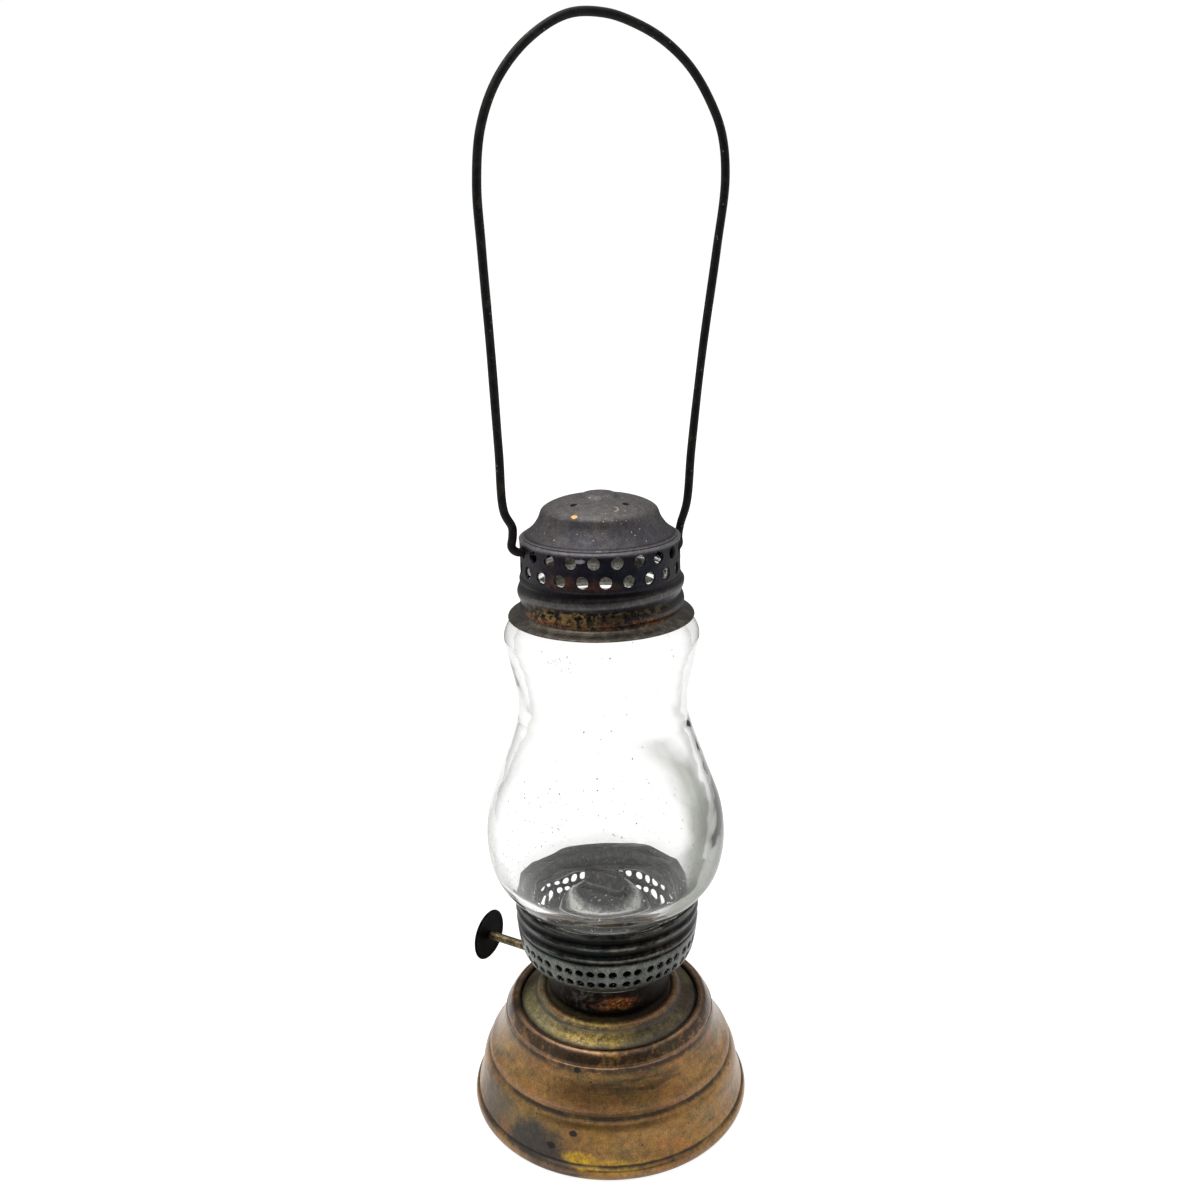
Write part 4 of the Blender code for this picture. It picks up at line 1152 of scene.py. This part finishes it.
def make_globe():
    foot, top, _ = span("globe")
    outer = outline(
        [(15.9, top - 0.6), (16.3, top), (16.9, top), (17.3, top - 0.6)],
        [(17.55, 142.0), (17.7, 134.6), (17.9, 133.4), (19.2, 132.4), (20.9, 131.7), (22.1, 130.9),
         (22.9, 129.6), (23.25, 128.0), (22.95, 126.0), (22.25, 122.2), (21.4, 118.2), (20.65, 113.8),
         (20.5, 111.0), (20.7, 107.6), (21.6, 104.2), (22.9, 100.2), (24.4, 96.2), (25.8, 92.0),
         (27.2, 88.2), (28.6, 84.0), (29.35, 80.0), (29.6, 76.0), (29.4, 72.4), (28.5, 68.2),
         (27.6, 66.0), (26.3, 64.0), (24.8, 62.0), (23.2, 60.6), (21.8, 59.8), (21.3, 58.8)],
        [(21.1, 54.0), (20.95, foot + 0.5), (20.5, foot)],
        step=0.6,
    )
    body = outer[(outer[:, 1] < 130.6) & (outer[:, 1] > 60.0)]
    heights = (60.0, 66.0, 76.0, 84.0, 92.0, 102.0, 112.0, 124.0, 130.6)
    walls = np.interp(body[:, 1], heights, (2.0, 2.0, 2.1, 2.1, 2.2, 2.1, 1.9, 2.2, 3.0))
    cavity = inside(body, walls[:, None])[::6]
    inner = outline(
        [(20.5, foot), (19.0, foot), (18.75, foot + 0.5)],
        [(18.8, 56.5), (19.3, 59.3), *map(tuple, cavity[::-1]), (17.6, 130.4), (16.0, 131.8), (15.5, 134.2),
         (15.5, top - 0.6)],
        [(15.9, top - 0.6)],
        step=0.6,
    )
    line = np.vstack([outer, inner[1:-1]])
    rows = revolve(line, turns(224))
    is_inner = np.arange(len(line)) >= len(outer)

    # The blown cavity leans: it sits to the right in the waist and to the left in the belly.
    heights = (58.0, 66.0, 76.0, 92.0, 106.0, 114.0, 126.0, 131.0)
    leans = (0.0, -0.9, -1.1, -0.4, 0.1, 0.15, 0.1, 0.0)
    z = rows[:, :, 2]
    within = is_inner[:, None]
    rows[:, :, 0] += np.interp(z, heights, leans) * within
    rows[:, :, 1] += np.interp(z, (58.0, 62.0, 70.0, 80.0), (0.0, 0.4, 0.4, 0.0)) * within
    angle = np.arctan2(rows[:, :, 1], rows[:, :, 0])
    sway = 0.1 * np.sin(3 * angle + z / 14) + 0.04 * np.sin(5 * angle - z / 9)
    sway = sway * within * np.clip((z - 60) / 8, 0, 1) * np.clip((130 - z) / 8, 0, 1)
    rows[:, :, 0] += sway * np.cos(angle)
    rows[:, :, 1] += sway * np.sin(angle)
    # The neck is moulded with a screw thread that runs inside the cap's own.
    neck = (z > 133.4) & ~within & (np.hypot(rows[:, :, 0], rows[:, :, 1]) > 17.0)
    lead = np.clip((z - 133.4) / 1.0, 0, 1) * np.clip((top - z) / 1.0, 0, 1)
    rows[:, :, :2] *= (1.0 + neck * lead * 0.05 * (thread_wave(z, angle) - 0.4))[:, :, None]
    skin = Skin()
    skin.grid(rows, close=True)
    globe = skin.build("glass_globe", clear_glass(), sharp=70.0)
    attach(globe, "globe")
    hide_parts("globe")


# ---------------------------------------------------------------- cap and bail

CAP_WALL = 0.5
BAND_COLUMNS = 352
BAND_HOLE_R = 1.42
BAND_HOLES = 22
BAND_FIRST_DEG = -94.65
BAND_UPPER_Z = 149.6
BAND_LOWER_Z = 145.3
VENT_R = 0.8
VENT_RING_R = 8.6
VENT_AZIMUTHS_DEG = (-132.0, -46.0, 52.0, 128.0)


def make_collar(paint):
    _, high, flange_r = span("cap_collar")
    outside = outline(
        [(18.45, 143.1), (18.8, 143.05), (18.93, high), (18.95, high - 1.0), (18.95, high - 4.0),
         (18.95, 135.2)],
        [(19.25, 134.5), (20.2, 133.85), (21.4, 133.35), (flange_r - 0.12, 133.0), (flange_r - 0.03, 132.8)],
        step=0.16,
    )

    def thread(r, z, a):
        fade = np.clip((high - z) / 1.0, 0, 1) * np.clip((z - 134.2) / 1.6, 0, 1)
        return r + 0.72 * thread_wave(z, a) * fade, z

    inner = inside(outside, CAP_WALL)
    skin = Skin()
    skin.grid(revolve(outside, turns(256), thread))
    closing = np.vstack([outside[-1:], inner[::-1], outside[:1]])
    skin.grid(revolve(closing, turns(256), thread), paint=INNER)
    bright = dusty_brass("collar_inside", (0.62, 0.58, 0.48), (0.36, 0.32, 0.25), dust=0.2)
    collar = skin.build("cap_screw_collar", paint, bright)
    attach(collar, "cap")
    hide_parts("cap_collar")


def make_band(paint):
    low, high, _ = span("cap_band")
    radius = 18.7
    wall = 0.55
    band_top, band_middle, band_low = 151.3, 147.45, 143.3
    bead = outline(
        [(17.3, 151.85), (17.55, high - 0.2), (18.15, high), (18.6, high - 0.2), (18.82, 151.65),
         (radius, band_top)],
        step=0.12,
    )
    angles = np.arange(BAND_COLUMNS) * math.tau / BAND_COLUMNS
    skin = Skin()
    skin.grid(revolve(bead, angles))
    back = radius - wall
    ledge = np.array([[back, band_top], [17.6, 151.5], [17.3, 151.85]])
    skin.grid(revolve(ledge, angles), paint=INNER)
    foot = [(radius, band_low), (radius, low + 0.15), (radius - 0.1, low)]
    foot += [(back + 0.1, low), (back, low + 0.15), (back, band_low)]
    skin.grid(revolve(np.array(foot), angles))
    pitch = 360.0 / BAND_HOLES
    upper = [BAND_FIRST_DEG + pitch * k for k in range(BAND_HOLES)]
    lower = [BAND_FIRST_DEG + pitch * (k + 0.5) for k in range(BAND_HOLES)]
    rows = [
        (band_middle, band_top, BAND_UPPER_Z, BAND_HOLE_R, upper),
        (band_low, band_middle, BAND_LOWER_Z, BAND_HOLE_R, lower),
    ]
    pierced_band(skin, lambda z: radius, wall, BAND_COLUMNS, rows, up=10)
    soot_and_shade = dusty_brass("cap_inside", (0.03, 0.029, 0.028), (0.011, 0.011, 0.011), dust=0.15)
    band = skin.build("cap_pierced_band", paint, soot_and_shade)
    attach(band, "cap")
    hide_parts("cap_band")


def make_dome(paint):
    high = span("cap_dome")[1]
    top = outline(
        [(0.0, high + 0.15), (2.6, high + 0.1), (3.6, high - 0.05), (4.1, high - 0.4), (4.5, 160.95)],
        [(6.6, 160.65), (9.2, 160.2), (11.4, 159.45), (12.9, 158.65), (13.55, 158.05), (13.85, 157.4)],
        [(14.25, 156.3), (14.95, 155.1), (15.9, 153.9), (16.8, 153.1), (17.5, 152.5), (18.1, 152.2)],
        step=0.2,
    )
    dents = wobble(0.05, 9)
    dome = lathe("cap_crown", sheet(top, CAP_WALL), paint, steps=224, closed=False, shape=dents)
    rod = rod_mesh(VENT_R, 6.0)
    for azimuth in VENT_AZIMUTHS_DEG:
        a = math.radians(azimuth)
        spot = Vector((VENT_RING_R * math.cos(a), VENT_RING_R * math.sin(a), 160.0)) * MM
        carve(dome, rod, Matrix.Translation(spot))
    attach(dome, "cap")
    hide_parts("cap_dome")


BAIL_AZIMUTH_DEG = 24.0
BAIL_MIDDLE = (-0.8, 1.2)
BAIL_TIP = 15.0
BAIL_STEP = 0.45
WIRE_R = 1.0


def make_bail():
    """The path runs in the plane through the two hooks: (distance to the right of the middle, height)."""
    upper, lower = BAND_UPPER_Z, BAND_LOWER_Z
    left = [
        (-BAIL_TIP, upper), (-17.6, upper), (-19.8, upper + 0.2), (-21.0, upper + 1.4),
        (-20.7, upper + 3.9), (-20.7, upper + 6.0), (-22.5, upper + 9.8), (-23.1, 173.0), (-23.9, 195.0),
        (-24.9, 216.0), (-25.3, 229.0), (-23.9, 239.8), (-20.0, 248.8), (-13.1, 256.6),
    ]
    right = [
        (-4.0, 261.85), (4.5, 262.45), (11.5, 260.8), (18.2, 257.8), (24.6, 252.8), (29.5, 246.2),
        (32.6, 239.4), (33.6, 230.0), (31.5, 214.6), (28.0, 192.4), (25.1, 169.2), (23.9, 156.6),
        (22.2, lower + 6.2), (21.7, lower + 3.4), (21.8, lower + 1.4), (20.4, lower + 0.1),
        (17.6, lower), (BAIL_TIP, lower),
    ]
    path = spline(left + right, BAIL_STEP)
    a = math.radians(BAIL_AZIMUTH_DEG)
    along = np.array([math.cos(a), math.sin(a), 0.0])
    flat = np.array([-math.sin(a), math.cos(a), 0.0])
    middle = np.array([*BAIL_MIDDLE, 0.0])
    centre = middle + path[:, :1] * along + path[:, 1:] * np.array([0.0, 0.0, 1.0])
    way = np.gradient(centre, axis=0)
    way /= np.linalg.norm(way, axis=1)[:, None]
    other = np.cross(way, flat)
    sides = np.linspace(0, math.tau, 24, endpoint=False)
    rng = np.random.default_rng(4)
    length = np.arange(len(path)) * BAIL_STEP
    uneven = 0.0
    for _ in range(8):
        size = rng.uniform(0.004, 0.01)
        uneven = uneven + size * np.sin(length / rng.uniform(1.5, 9.0) + rng.uniform(0, 6))
    radius = WIRE_R * (0.985 + uneven)
    last = len(path) - 1
    caps = [(0.0, 0.0), (0.6, 0.02), (0.9, 0.12), (0.985, 0.3)]
    rows = [(centre[0] + way[0] * ((back - 0.3) * WIRE_R + 0.3), grow * WIRE_R, 0) for grow, back in caps]
    rows += [(centre[i], radius[i], i) for i in range(1, last)]
    for grow, back in caps[::-1]:
        rows.append((centre[last] - way[last] * ((back - 0.3) * WIRE_R + 0.3), grow * WIRE_R, last))
    points = []
    for spot, size, i in rows:
        points.append(spot + size * (np.cos(sides)[:, None] * flat + np.sin(sides)[:, None] * other[i]))
    skin = Skin()
    skin.grid(np.array(points))
    bail = skin.build("wire_bail", black_wire(), sharp=60.0)
    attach(bail, "bail")
    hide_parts("bail")


# ---------------------------------------------------------------- stage

CAMERA_PLACE = (0.0, -0.2669, 0.21711)
CAMERA_YAW_DEG = -0.05
CAMERA_PITCH_DEG = 16.92
CAMERA_ROLL_DEG = -1.16
CAMERA_LENS = 35.4

BACKDROP = 1.02
TENT_ENDS = 0.22
TENT_SIDES = 1.05
TENT_TOP = 1.75


def make_camera():
    yaw, pitch, roll = (math.radians(v) for v in (CAMERA_YAW_DEG, CAMERA_PITCH_DEG, CAMERA_ROLL_DEG))
    forward = Vector((math.sin(yaw) * math.cos(pitch), math.cos(yaw) * math.cos(pitch), -math.sin(pitch)))
    level = Vector((math.cos(yaw), -math.sin(yaw), 0.0))
    upright = level.cross(forward)
    right = math.cos(roll) * level + math.sin(roll) * upright
    up = math.cos(roll) * upright - math.sin(roll) * level
    data = bpy.data.cameras.new("camera")
    data.lens = CAMERA_LENS
    data.sensor_width = 36.0
    data.clip_start = 0.01
    camera = bpy.data.objects.new("camera", data)
    axes = Matrix((right, up, -forward)).transposed().to_4x4()
    camera.matrix_world = Matrix.Translation(CAMERA_PLACE) @ axes
    bpy.context.scene.collection.objects.link(camera)
    bpy.context.scene.camera = camera


def floor_paint():
    p = Paint("floor_paper")
    p.set(Base_Color=(0.25, 0.25, 0.248), Roughness=0.9)
    p.set(Specular_IOR_Level=0.1, Emission_Color=(1.0, 1.0, 1.0), Emission_Strength=0.88)
    return p.material


def make_floor():
    """A near disc that everything sees, and a wide ring that mirrors in nothing."""
    paint = floor_paint()
    near, far, depth = 0.36, 4.0, -0.0001
    for name, radii in (("floor_near", (0.0, near)), ("floor_far", (near, far))):
        line = np.array([[radii[0], depth], [radii[1], depth]]) / MM
        skin = Skin()
        skin.grid(revolve(line[::-1], turns(96)))
        floor = skin.build(name, paint)
        floor.visible_glossy = name == "floor_near"


def make_light():
    """A white tent, bright above and at both sides, dimmer in front and behind, and a lamp overhead."""
    world = bpy.data.worlds.new("tent")
    bpy.context.scene.world = world
    world.use_nodes = True
    w = Nodes(world.node_tree)
    path = w.node("ShaderNodeLightPath", {}).outputs
    way = w.node("ShaderNodeTexCoord", {}).outputs["Generated"]
    x, y, z = w.node("ShaderNodeSeparateXYZ", {0: way}).outputs
    flat = w.math("SQRT", w.math("ADD", w.math("MULTIPLY", x, x), w.math("MULTIPLY", y, y)))
    sideways = w.math("DIVIDE", w.math("ABSOLUTE", x), w.math("MAXIMUM", flat, 0.0001))
    wall = w.step(sideways, 0.62, 0.93, TENT_ENDS, TENT_SIDES)
    tent = w.step(z, 0.55, 0.8, wall, TENT_TOP)
    through = w.step(z, 0.0, 0.5, 1.05, 0.58)
    level = w.mix(w.math("MINIMUM", path["Transmission Depth"], 1.0), tent, through)
    level = w.mix(path["Is Camera Ray"], level, BACKDROP)
    background = w.nodes["Background"]
    w.feed(background.inputs["Strength"], level)
    w.feed(background.inputs["Color"], (1.0, 1.0, 0.995))

    lamp = bpy.data.lights.new("overhead_softbox", "AREA")
    lamp.shape = "DISK"
    lamp.size = 0.7
    lamp.energy = 5.0
    lamp.color = (1.0, 0.99, 0.97)
    softbox = bpy.data.objects.new("overhead_softbox", lamp)
    softbox.location = (-0.25, -0.15, 0.95)
    aim = Vector((0.0, 0.0, 0.08)) - softbox.location
    softbox.rotation_euler = aim.to_track_quat("-Z", "Y").to_euler()
    softbox.visible_camera = False
    bpy.context.scene.collection.objects.link(softbox)


def dress_hidden_nodes():
    """The CAD nodes that stay: the air disc and the two sprockets inside the burner."""
    disc = dusty_brass("air_disc_brass", (0.1, 0.1, 0.095), (0.04, 0.04, 0.038))
    teeth = inner_brass("sprocket_brass", (0.24, 0.17, 0.08))
    for name, paint in (("air_disc", disc), ("sprocket_1", teeth), ("sprocket_2", teeth)):
        slots = frame["nodes"][name].material_slots
        for slot in slots:
            slot.material = paint


bpy.context.scene.view_settings.view_transform = "Standard"
make_camera()
make_light()
make_floor()
make_font_side()
make_font_top()
make_font_bushing()
make_font_bottom()
make_gallery()
make_neck()
make_shaft_bush()
make_spigot()
make_deflector()
make_wick_tube()
make_wick()
make_wick_shaft()
make_thumbwheel()
make_globe()
cap_paint = cap_brass()
make_collar(cap_paint)
make_band(cap_paint)
make_dome(cap_paint)
make_bail()
dress_hidden_nodes()
